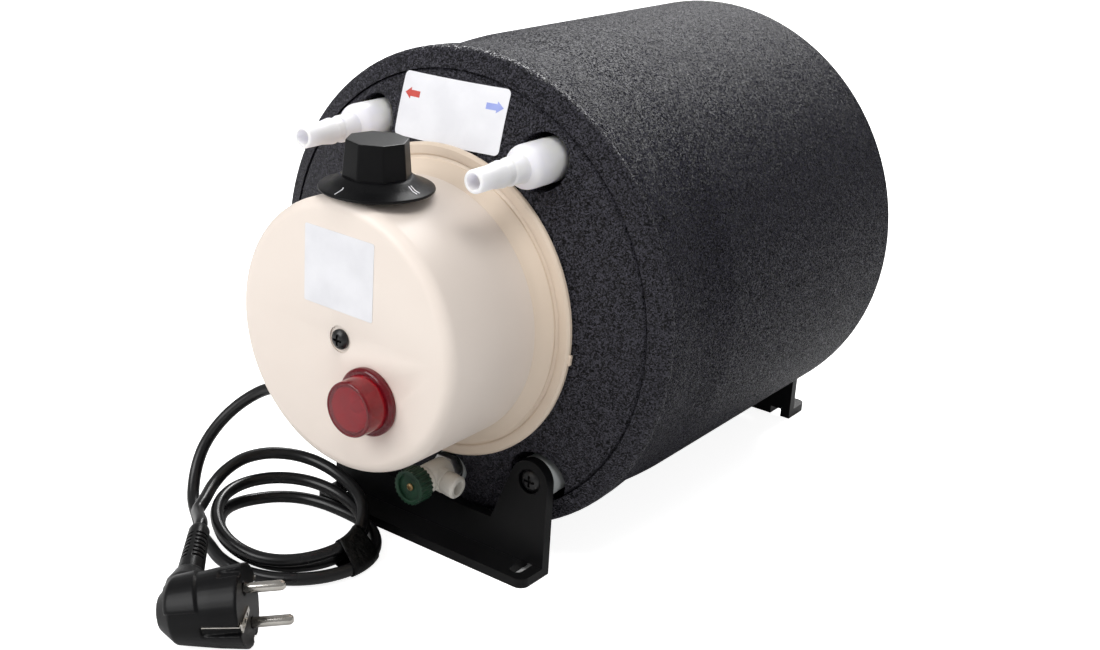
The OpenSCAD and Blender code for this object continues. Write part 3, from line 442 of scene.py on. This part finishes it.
def foam_finish(name, dark, light, shine):
    """Burst foam cells, each with its own grey, gloss and lean."""
    paint = bpy.data.materials.new(name)
    paint.use_nodes = True
    nodes_, links = paint.node_tree.nodes, paint.node_tree.links
    shader = nodes_["Principled BSDF"]
    where = nodes_.new("ShaderNodeTexCoord")

    cells = nodes_.new("ShaderNodeTexVoronoi")
    cells.feature = "F1"
    cells.inputs["Scale"].default_value = METRE_MM / CELL_MM
    links.new(where.outputs["Object"], cells.inputs["Vector"])
    chance = nodes_.new("ShaderNodeSeparateColor")
    links.new(cells.outputs["Color"], chance.inputs["Color"])
    colours = nodes_.new("ShaderNodeValToRGB")
    colours.color_ramp.elements[0].position = CELL_RAMP_START
    colours.color_ramp.elements[0].color = (*dark, 1)
    colours.color_ramp.elements[1].color = (*light, 1)
    links.new(chance.outputs["Red"], colours.inputs["Fac"])
    links.new(colours.outputs["Color"], shader.inputs["Base Color"])

    gloss = nodes_.new("ShaderNodeMapRange")
    gloss.inputs["To Min"].default_value = CELL_ROUGH[0]
    gloss.inputs["To Max"].default_value = CELL_ROUGH[1]
    links.new(chance.outputs["Red"], gloss.inputs["Value"])
    links.new(gloss.outputs["Result"], shader.inputs["Roughness"])

    lean = nodes_.new("ShaderNodeVectorMath")
    lean.operation = "SUBTRACT"
    lean.inputs[1].default_value = MIDDLE
    links.new(cells.outputs["Color"], lean.inputs[0])
    leant = nodes_.new("ShaderNodeVectorMath")
    leant.operation = "MULTIPLY_ADD"
    leant.inputs[1].default_value = (CELL_TILT, CELL_TILT, CELL_TILT)
    links.new(lean.outputs["Vector"], leant.inputs[0])
    links.new(where.outputs["Normal"], leant.inputs[2])
    facet = nodes_.new("ShaderNodeVectorMath")
    facet.operation = "NORMALIZE"
    links.new(leant.outputs["Vector"], facet.inputs[0])
    links.new(facet.outputs["Vector"], shader.inputs["Normal"])
    shader.inputs["Specular IOR Level"].default_value = shine
    return paint


# %% [markdown]
# Every call gives the darker and the lighter colour, and for the plain finishes the size of the patches,
# the range of roughness, the size of the grain and how far it lifts. What follows by name goes straight
# on the shader. The table then says which pieces wear which finish.

# %% The finishes of this heater
barrel_foam = foam_finish("barrel_foam", (0.001, 0.001, 0.0015), (0.031, 0.03, 0.044), 0.065)
disc_foam = foam_finish("disc_foam", (0.001, 0.001, 0.002), (0.06, 0.058, 0.073), 0.2)
cream_gloss = finish("cream_gloss", (0.775, 0.685, 0.615), (0.805, 0.72, 0.65), 90, (0.37, 0.41), 20, 0.003)
cream_base = finish("cream_base", (0.65, 0.535, 0.425), (0.69, 0.575, 0.465), 90, (0.32, 0.38), 20, 0.003)
BLACKS = ((0.003, 0.003, 0.0035), (0.005, 0.005, 0.0055))
black_satin = finish("black_satin", *BLACKS, 30, (0.36, 0.44), 0.35, 0.1, Specular_IOR_Level=0.15)
black_moulded = finish("black_moulded", *BLACKS, 40, (0.28, 0.4), 0.3, 0.12, Specular_IOR_Level=0.2)
nozzle_white = finish("nozzle_white", (0.78, 0.77, 0.82), (0.84, 0.83, 0.87), 25, (0.32, 0.4), 1.0, 0.02,
                      Subsurface_Weight=1.0, Subsurface_Radius=(0.006, 0.006, 0.007), Subsurface_Scale=1.0)
tank_white = finish("tank_white", (0.36, 0.38, 0.38), (0.42, 0.44, 0.44), 30, (0.4, 0.5), 4.0, 0.02)
black_screw = finish("black_screw", (0.004, 0.004, 0.004), (0.009, 0.009, 0.01), 3, (0.25, 0.38), 0.6, 0.04)
bright_steel = finish("bright_steel", (0.5, 0.5, 0.5), (0.62, 0.62, 0.61), 8, (0.25, 0.4), 0.5, 0.06,
                      Metallic=1.0)
nickel = finish("nickel", (0.62, 0.59, 0.54), (0.75, 0.72, 0.67), 5, (0.14, 0.26), 0.5, 0.03, Metallic=1.0)
copper = finish("copper", (0.6, 0.3, 0.18), (0.72, 0.4, 0.26), 6, (0.25, 0.4), 0.5, 0.05, Metallic=1.0)
brass = finish("brass", (0.3, 0.2, 0.09), (0.4, 0.28, 0.14), 3, (0.4, 0.5), 0.4, 0.06, Metallic=1.0)
# Black of the seals, also used as the painted shade of the holes in the earth tongue.
seal_black_and_hole_shade = finish("seal_black_and_hole_shade", (0.008, 0.008, 0.008), (0.014, 0.014, 0.014), 8, (0.6, 0.75), 0.4, 0.15)
beige_moulded = finish("beige_moulded", (0.6, 0.55, 0.44), (0.68, 0.63, 0.52), 20, (0.4, 0.55), 0.6, 0.08)
ivory_moulded = finish("ivory_moulded", (0.68, 0.65, 0.59), (0.76, 0.73, 0.67), 10, (0.32, 0.42), 2.0, 0.02)
green_moulded = finish("green_moulded", (0.006, 0.03, 0.015), (0.012, 0.05, 0.025), 6, (0.35, 0.5), 0.4,
                       0.1)
cord_jacket = finish("cord_jacket", (0.005, 0.005, 0.0055), (0.007, 0.007, 0.0075), 60, (0.26, 0.3), 15,
                     0.004, Specular_IOR_Level=0.45)
tape_black = finish("tape_black", (0.003, 0.003, 0.003), (0.005, 0.005, 0.005), 6, (0.3, 0.4), 4.0, 0.3,
                    Specular_IOR_Level=0.15)
red_lens = finish("red_lens", (0.48, 0.011, 0.03), (0.55, 0.016, 0.038), 20, (0.12, 0.18), 12, 0.004,
                  Transmission_Weight=0.8, IOR=1.49)
# Painted shade of the lens's edge.
lens_edge_painted_shade = finish("lens_edge_painted_shade", (0.11, 0.003, 0.006), (0.15, 0.005, 0.009), 8, (0.15, 0.25), 6, 0.004)
bulb_glass = finish("bulb_glass", (0.9, 0.55, 0.35), (0.95, 0.65, 0.45), 3, (0.04, 0.1), 1.0, 0.02,
                    Transmission_Weight=0.8, IOR=1.45)
label_white = finish("label_white", (0.72, 0.72, 0.75), (0.78, 0.78, 0.81), 15, (0.38, 0.5), 0.4, 0.04)

FINISH_OF = {
    barrel_foam: ["insulation_sleeve"],
    disc_foam: ["front_insulation", "rear_insulation"],
    tank_white: ["tank"],
    nozzle_white: ["hot_nozzle", "cold_nozzle", "hot_tube", "cold_tube"],
    black_moulded: ["front_bracket", "rear_bracket", "plug_body", "plug_relief", "cable_gland"],
    black_satin: ["knob"],
    black_screw: ["bracket_screws", "cover_screw"],
    cream_gloss: ["cover"],
    cream_base: ["housing_base"],
    bright_steel: ["cover_pillar", "heater_plate", "flange_bolts", "heating_element", "thermowell",
                   "thermostat_bracket", "thermostat_nut", "thermostat_shaft", "drain_nut"],
    seal_black_and_hole_shade: ["nozzle_seals", "heater_gasket", "drain_seal", "drain_plug"],
    copper: ["sensor_bulb"],
    beige_moulded: ["thermostat_body", "safety_cutout", "terminal_block", "lamp_body", "lamp_nut"],
    red_lens: ["lamp_lens"],
    bulb_glass: ["neon_bulb"],
    ivory_moulded: ["drain_body", "drain_bonnet"],
    brass: ["drain_spindle", "drain_wheel_screw"],
    green_moulded: ["drain_wheel"],
    cord_jacket: ["cord_lead", "cord_coil", "cord_tail"],
    tape_black: ["coil_tie"],
    nickel: ["plug_pins", "earth_clips"],
}
for paint, names in FINISH_OF.items():
    for name in names:
        nodes[name].data.materials.clear()
        nodes[name].data.materials.append(paint)
lead_mesh.materials.append(cord_jacket)
print("finishes:", len(FINISH_OF))

# %% [markdown]
# Moulded parts have no knife edges. A CAD node comes as loose triangles, so a copy of it is joined to
# one skin, its flat facets are merged, and every corner that sticks out gets a small round that catches
# the light. Where a surface is curved the shading runs smoothly over the facets, and on pieces with
# broad flat faces the normals are weighted so that those faces stay flat. The faces of the sleeve's cut
# front rim that face forward wear the disc's lighter foam: painted light, so the rim looks lit as the disc
# is.

# %% Soft edges for CAD nodes
MERGE_MM = 0.002
FLAT_ANGLE = math.radians(0.4)
CORNER_ANGLE = math.radians(33)
CORNER_STEPS = 2
ROUND_PROFILE = 0.5
FLAT_FACED = {"front_bracket", "rear_bracket", "knob"}
FLAT_WEIGHT = 100
BODY_OF = {name: body for body, names in frame["record"]["behaviour"]["bodies"].items() for name in names}
PAINT_OF = {name: paint for paint, names in FINISH_OF.items() for name in names}


def joined_skin(name):
    work = bmesh.new()
    work.from_mesh(nodes[name].data)
    bmesh.ops.remove_doubles(work, verts=work.verts, dist=MERGE_MM * MM)
    bmesh.ops.dissolve_limit(work, angle_limit=FLAT_ANGLE, verts=work.verts, edges=work.edges)
    return work


def rounded(work, width):
    """Rounds the edges that stick out. A fold that goes inwards stays as it is."""
    corners = [e for e in work.edges if e.is_manifold and e.calc_face_angle_signed(0) > CORNER_ANGLE]
    bmesh.ops.bevel(work, geom=corners, offset=width * MM, offset_type="OFFSET", affect="EDGES",
                    segments=CORNER_STEPS, profile=ROUND_PROFILE, material=-1, clamp_overlap=True)


def turn_about(work, axis, angle, verts):
    bmesh.ops.rotate(work, cent=(0, 0, 0), matrix=Matrix.Rotation(angle, 3, axis), verts=verts)


def piece_from(work, name, paint, body):
    """A finished piece on its body, with smooth shading up to its corners."""
    mesh = bpy.data.meshes.new(name)
    work.to_mesh(mesh)
    work.free()
    for stale in ("custom_normal", "sharp_face"):
        if stale in mesh.attributes:
            mesh.attributes.remove(mesh.attributes[stale])
    mesh.materials.clear()
    mesh.materials.append(paint)
    mesh.shade_smooth()
    mesh.set_sharp_from_angle(angle=CORNER_ANGLE)
    piece = bpy.data.objects.new(name, mesh)
    scene.collection.objects.link(piece)
    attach(piece, body)
    return piece


def dressed(name, width):
    """A piece that stands for a CAD node, with rounded corners and smooth shading."""
    work = joined_skin(name)
    if width:
        rounded(work, width)
    piece = piece_from(work, name + "_piece", PAINT_OF[name], BODY_OF[name])
    if name in FLAT_FACED:
        even = piece.modifiers.new("even", "WEIGHTED_NORMAL")
        even.weight = FLAT_WEIGHT
        even.keep_sharp = True
    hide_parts(name)
    return piece


CORNER_MM = {
    "insulation_sleeve": 0, "front_insulation": 0.8, "rear_insulation": 0.8,
    "hot_nozzle": 0.4, "cold_nozzle": 0.4, "front_bracket": 0.7, "rear_bracket": 0.7,
    "bracket_screws": 0.15, "housing_base": 0.3, "cover": 0.4, "cover_screw": 0.2, "knob": 0.6,
    "lamp_lens": 0.3, "lamp_body": 0.2, "neon_bulb": 0, "cable_gland": 0.4, "drain_body": 0.3,
    "drain_bonnet": 0.3, "drain_nut": 0.3, "drain_wheel": 0.25, "drain_wheel_screw": 0.1,
    "plug_relief": 0.2, "plug_pins": 0.2,
}
made = {name: dressed(name, width) for name, width in CORNER_MM.items()}

# Painted light: the forward-facing faces of the sleeve's front rim take the lighter disc foam.
RIM_FACING = -0.1
RIM_DEPTH_MM = 12.0
RIM_PAINTED_LIGHT = 1
sleeve_mesh = made["insulation_sleeve"].data
sleeve_mesh.materials.append(disc_foam)
rim_end = min(v.co.y for v in sleeve_mesh.vertices) + RIM_DEPTH_MM * MM
for face in sleeve_mesh.polygons:
    if face.normal.y < RIM_FACING and face.center.y < rim_end:
        face.material_index = RIM_PAINTED_LIGHT
print("pieces with soft edges:", len(made))

# %% [markdown]
# The plug is moulded in one shot of rubbery plastic, so body and neck flow into each other. Its solid
# is joined, turned into an even skin of small voxels and smoothed, which rounds every meeting line.

# %% Plug
VOXEL_MM = 0.6
SMOOTH_STEPS = 6
SMOOTH_SHARE = 0.5


def applied(piece):
    """The piece's mesh with its modifiers worked in."""
    shown = piece.evaluated_get(bpy.context.evaluated_depsgraph_get())
    mesh = bpy.data.meshes.new_from_object(shown)
    piece.modifiers.clear()
    piece.data = mesh
    return mesh


work = joined_skin("plug_body")
plug = piece_from(work, "plug_piece", black_moulded, "heater")
skin = plug.modifiers.new("skin", "REMESH")
skin.mode = "VOXEL"
skin.voxel_size = VOXEL_MM * MM
soft = plug.modifiers.new("soft", "SMOOTH")
soft.factor = SMOOTH_SHARE
soft.iterations = SMOOTH_STEPS
applied(plug).shade_smooth()
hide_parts("plug_body")

PANEL_UP = 1.1
PANEL_EDGE = 1.0
PANEL_SIDES = ((-33.5, -0.182), (-17.5, -0.174))
PANEL_LEVEL = -14.0
PANEL_ANGLE = math.radians(30)
PANEL_FADE = (13.0, 21.0)


def panel_height(p):
    """How far the thumb panel lifts a point of the plug, in the plug's own millimetres."""
    if p.z < 0 or p.y > PANEL_FADE[1]:
        return 0.0
    back_side, front_side = (start + lean * (p.y - PANEL_LEVEL) for start, lean in PANEL_SIDES)
    turn = math.atan2(p.z, -p.y) - PANEL_ANGLE
    inside = min(p.x - back_side, front_side - p.x, turn * math.hypot(p.y, p.z))
    t = min(max(inside / PANEL_EDGE, 0), 1)
    fade = min(max((PANEL_FADE[1] - p.y) / (PANEL_FADE[1] - PANEL_FADE[0]), 0), 1)
    return PANEL_UP * t * t * (3 - 2 * t) * fade


into_plug = plug_frame.inverted()
lifts = [panel_height(into_plug @ (v.co / MM)) * v.normal for v in plug.data.vertices]
for v, lift in zip(plug.data.vertices, lifts):
    v.co += lift * MM
print("faces of the plug:", len(plug.data.polygons))

# %% [markdown]
# The earth contact is bent sheet: an edge that shows along the upper side of each groove, and a tongue
# that lies across the plug's face with two holes in it. The holes are not cut: thin dark discs paint their
# shade.

# %% Earth contacts
CLIP_LEN = 17.0
CLIP_FRONT = 0.4
CLIP_Z = (2.05, 2.6)
CLIP_Y = (-15.7, -18.95, -17.05)
TONGUE_X = (0.05, 0.95)
TONGUE_Y = (-16.5, -2.0)
TONGUE_HALF = (2.2, 1.2)
HOLE_R = 0.9
HOLE_T = 0.1
HOLE_SIDES = 20
HOLE_Y = (-11.0, -6.5)


def from_plug(work):
    """From the plug's own frame, in millimetres, to the model's, in metres."""
    bmesh.ops.transform(work, matrix=plug_frame, verts=work.verts)
    bmesh.ops.scale(work, vec=(MM, MM, MM), verts=work.verts)


work = bmesh.new()
for side in (1, -1):
    for v in bmesh.ops.create_cube(work, size=1)["verts"]:
        front_end, outer, upper = v.co.x > 0, v.co.y < 0, v.co.z > 0
        rim = CLIP_Y[1] if front_end else CLIP_Y[2]
        along = CLIP_FRONT if front_end else -CLIP_LEN
        v.co = Vector((along, side * (rim if outer else CLIP_Y[0]), CLIP_Z[upper]))
for v in bmesh.ops.create_cube(work, size=1)["verts"]:
    inner = v.co.y > 0
    half = TONGUE_HALF[inner]
    v.co = Vector((TONGUE_X[v.co.x > 0], TONGUE_Y[inner], half if v.co.z > 0 else -half))
from_plug(work)
bmesh.ops.recalc_face_normals(work, faces=work.faces)
clips = piece_from(work, "clips_piece", nickel, "heater")
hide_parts("earth_clips")

# Painted shade: a thin dark disc for each hole in the tongue.
work = bmesh.new()
for y in HOLE_Y:
    disc = bmesh.ops.create_cone(work, cap_ends=True, segments=HOLE_SIDES, radius1=HOLE_R, radius2=HOLE_R,
                                 depth=HOLE_T)["verts"]
    turn_about(work, "Y", math.pi / 2, disc)
    bmesh.ops.translate(work, vec=(TONGUE_X[1], y, 0), verts=disc)
from_plug(work)
clip_hole_shade = piece_from(work, "clip_hole_shade", seal_black_and_hole_shade, "heater")
print("earth contacts are in")

# %% [markdown]
# The tape goes round all three strands. Its section at each angle is the tight outline of three circles,
# so a grid is rolled up: one side runs round the outline, the other along the strands.

# %% Tape round the coil
TAPE_MID = 359.0
TAPE_HALF = 12.0
TAPE_GAP = 0.3
TAPE_T = 0.45
TAPE_GRID = (48, 10)


def tape_point(round_it, angle):
    """Point of the tape: how far round the strands, and at which angle of the coil."""
    out = Vector((math.cos(round_it), math.sin(round_it)))
    flat = Vector((math.cos(math.radians(angle)), math.sin(math.radians(angle)), 0))
    centre = Vector((*COIL_CENTRE, 0))
    strands = [coil_point(angle + 360 * loop) for loop in range(len(LOOP_OUT))]
    places = [Vector(((p - centre).to_2d().length, p.z)) for p in strands]
    reach = max(places, key=lambda c: c.dot(out)) + out * (CORD_R + TAPE_GAP + TAPE_T)
    return centre + flat * reach.x + Vector((0, 0, reach.y))


work = bmesh.new()
bmesh.ops.create_grid(work, x_segments=TAPE_GRID[0], y_segments=TAPE_GRID[1], size=1)
for v in work.verts:
    v.co = tape_point((v.co.x + 1) * math.pi, TAPE_MID + v.co.y * TAPE_HALF) * MM
bmesh.ops.remove_doubles(work, verts=work.verts, dist=MERGE_MM * MM)
bmesh.ops.recalc_face_normals(work, faces=work.faces)
tape = piece_from(work, "tape_piece", tape_black, "heater")
sheet = tape.modifiers.new("sheet", "SOLIDIFY")
sheet.thickness = TAPE_T * MM
sheet.offset = -1
applied(tape).shade_smooth()
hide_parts("coil_tie")
print("faces of the tape:", len(tape.data.polygons))

# %% [markdown]
# Two stickers: a plain white one on the cover's face, and one on the foam with an arrow for each
# nozzle, red towards the hot one and blue towards the cold one. Each starts as a flat sheet with
# rounded corners. The one on the foam is then laid on the dome, point by point.

# %% Stickers
STICKER_T = 0.15
STICKER_CORNER_STEPS = 5
PRINT_T = 0.05
DISC_R = 112.2
DISC_CROWN = 20.0
CROWN_R = (DISC_R * DISC_R + DISC_CROWN * DISC_CROWN) / (2 * DISC_CROWN)


def dome_height(x, y):
    return DISC_CROWN - CROWN_R + math.sqrt(CROWN_R * CROWN_R - x * x - y * y)


def to_front(x, y, z):
    """From the housing's own frame, x right, y up and z forward, to the model's, in metres."""
    return Vector((x, SEAM_Y - z, AXIS_H + y)) * MM


def flat_sheet(width, height, corner, cuts):
    """Sheet in millimetres round the origin, with rounded corners."""
    work = bmesh.new()
    bmesh.ops.create_grid(work, x_segments=1, y_segments=1, size=0.5)
    bmesh.ops.scale(work, vec=(width, height, 1), verts=work.verts)
    bmesh.ops.bevel(work, geom=work.verts[:], offset=corner, offset_type="OFFSET", affect="VERTICES",
                    segments=STICKER_CORNER_STEPS, profile=ROUND_PROFILE, material=-1)
    for i in range(1, cuts):
        for side, size in (((1, 0, 0), width), ((0, 1, 0), height)):
            at = Vector(side) * (i / cuts - 0.5) * size
            bmesh.ops.bisect_plane(work, geom=work.verts[:] + work.edges[:] + work.faces[:],
                                   plane_co=at, plane_no=side)
    return work


def thickened(work, thickness):
    """The sheet with a back, its front moved forward by the thickness."""
    made_faces = bmesh.ops.extrude_face_region(work, geom=work.faces[:])["geom"]
    front = [v for v in made_faces if isinstance(v, bmesh.types.BMVert)]
    bmesh.ops.translate(work, vec=(0, 0, thickness), verts=front)
    bmesh.ops.recalc_face_normals(work, faces=work.faces)


def onto_cover(work, at, lift):
    """Puts a flat shape in front of the cover's face."""
    for v in work.verts:
        v.co = to_front(v.co.x + at[0], v.co.y + at[1], COVER_FACE + lift + v.co.z)
    bmesh.ops.recalc_face_normals(work, faces=work.faces)


FACE_LABEL = {"size": (42, 37), "corner": 1.0, "at": (-1.2, 31.9), "turn": math.radians(-1.0), "cuts": 1}
FACE_GAP = 0.02
work = flat_sheet(*FACE_LABEL["size"], FACE_LABEL["corner"], FACE_LABEL["cuts"])
thickened(work, STICKER_T)
turn_about(work, "Z", FACE_LABEL["turn"], work.verts)
onto_cover(work, FACE_LABEL["at"], FACE_GAP)
piece_from(work, "face_label", label_white, "heater")

FOAM_LABEL = {"size": (64.5, 30), "corner": 2.5, "at": (-3.3, 92.7), "turn": math.radians(1.2), "cuts": 12}
FOAM_GAP = 0.25


def onto_foam(work, lift):
    """Lays a flat shape on the foam's dome, in the sticker's place."""
    turn = Matrix.Rotation(FOAM_LABEL["turn"], 3, "Z")
    for v in work.verts:
        flat = turn @ Vector((v.co.x, v.co.y, 0))
        x, y = flat.x + FOAM_LABEL["at"][0], flat.y + FOAM_LABEL["at"][1]
        v.co = to_front(x, y, dome_height(x, y) + lift + v.co.z)
    bmesh.ops.recalc_face_normals(work, faces=work.faces)


work = flat_sheet(*FOAM_LABEL["size"], FOAM_LABEL["corner"], FOAM_LABEL["cuts"])
thickened(work, STICKER_T)
onto_foam(work, FOAM_GAP)
piece_from(work, "foam_label", label_white, "heater")


def arrow(length, width, head, point):
    """Arrow in millimetres that points along x, cut from a sheet."""
    work = bmesh.new()
    bmesh.ops.create_grid(work, x_segments=1, y_segments=1, size=0.5)
    bmesh.ops.scale(work, vec=(length - point, width, 1), verts=work.verts)
    tip = bmesh.ops.create_circle(work, cap_ends=True, segments=3, radius=1)["verts"]
    turn_about(work, "Z", -math.pi / 2, tip)
    ends = sorted(tip, key=lambda v: v.co.x)
    for v in ends[:2]:
        v.co = Vector(((length - point) / 2, head / 2 if v.co.y > 0 else -head / 2, 0))
    ends[2].co = Vector(((length + point) / 2, 0, 0))
    return work


ARROWS = {"hot_arrow": (-23.0, 5.2, math.pi, "red_print"), "cold_arrow": (23.5, 6.3, 0.0, "blue_print")}
ARROW_SIZE = (9.8, 2.9, 5.4, 3.8)
prints = {
    "red_print": finish("red_print", (0.5, 0.05, 0.04), (0.58, 0.07, 0.05), 10, (0.35, 0.45), 0.4, 0.03),
    "blue_print": finish("blue_print", (0.24, 0.3, 0.66), (0.3, 0.36, 0.72), 10, (0.35, 0.45), 0.4, 0.03),
}
for name, (x, y, turn_by, ink) in ARROWS.items():
    work = arrow(*ARROW_SIZE)
    turn_about(work, "Z", turn_by, work.verts)
    bmesh.ops.translate(work, vec=(x, y, 0), verts=work.verts)
    thickened(work, PRINT_T)
    onto_foam(work, FOAM_GAP + STICKER_T)
    piece_from(work, name, prints[ink], "heater")
print("stickers are on")

# %% [markdown]
# The knob's skirt has a single white line and a double one, printed along its slope. They are thin
# bars that ride on the knob.

# %% Knob marks
KNOB_Z = 59.5436
KNOB_FOOT = 66.7
MARK_W = 0.46
MARK_T = 0.3
SKIRT = ((17.5, 5.7), (21.2, 3.0), (26.5, 1.4))
MARKS = {"mark_single": ((-3.6,), (20.2, 25.4)), "mark_double": ((90.4, 95.2), (18.8, 23.7))}
knob_axis = to_front(0, KNOB_FOOT, KNOB_Z)


def skirt_height(r):
    (r0, h0), (r1, h1) = SKIRT[:2] if r < SKIRT[1][0] else SKIRT[1:]
    return h0 + (h1 - h0) * (r - r0) / (r1 - r0)


for name, (angles, ends) in MARKS.items():
    work = bmesh.new()
    stations = (ends[0], SKIRT[1][0], ends[1])
    for angle in angles:
        bar = bmesh.ops.create_cube(work, size=1)["verts"]
        edges = {e for v in bar for e in v.link_edges}
        faces = {f for v in bar for f in v.link_faces}
        halves = bmesh.ops.bisect_plane(work, geom=[*bar, *edges, *faces], plane_co=(0, 0, 0),
                                        plane_no=(0, 1, 0))
        bar = list({v for v in [*bar, *halves["geom_cut"]] if isinstance(v, bmesh.types.BMVert)})
        for v in bar:
            r = stations[1 - round(2 * v.co.y)]
            v.co = Vector((v.co.x * MARK_W, -r, skirt_height(r) + v.co.z * MARK_T)) * MM
        turn_about(work, "Z", math.radians(angle), bar)
    bmesh.ops.translate(work, vec=knob_axis, verts=work.verts)
    bmesh.ops.recalc_face_normals(work, faces=work.faces)
    piece_from(work, name, label_white, "knob")
print("knob marks:", len(MARKS))

# %% [markdown]
# A darker ring round the lamp lens's flat front is painted shade, where the light has more plastic to
# cross.

# %% Lens ring
LAMP_AT = (18.5, -25.0)
LENS_REACH = 14.5
RING_R = (11.8, 12.6)
RING_Z = (-0.42, -0.22)
RING_SIDES = 64
# Painted shade: a thin dark red ring on the lens front.
work = bmesh.new()
bmesh.ops.create_circle(work, segments=RING_SIDES, radius=RING_R[0])
outer = bmesh.ops.extrude_edge_only(work, edges=work.edges[:])["geom"]
outer = [v for v in outer if isinstance(v, bmesh.types.BMVert)]
grow = RING_R[1] / RING_R[0]
bmesh.ops.scale(work, vec=(grow, grow, 1), verts=outer)
thickened(work, RING_Z[1] - RING_Z[0])
onto_cover(work, LAMP_AT, LENS_REACH + RING_Z[0])
piece_from(work, "lens_shade_ring", lens_edge_painted_shade, "heater")
print("lens ring is on")

# %% [markdown]

# %% [markdown]
# Last, the box of the dressed model is printed.

# %% Sizes for the record
low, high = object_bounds()
print("visual box:", [round(v, 4) for v in (*low, *high)])
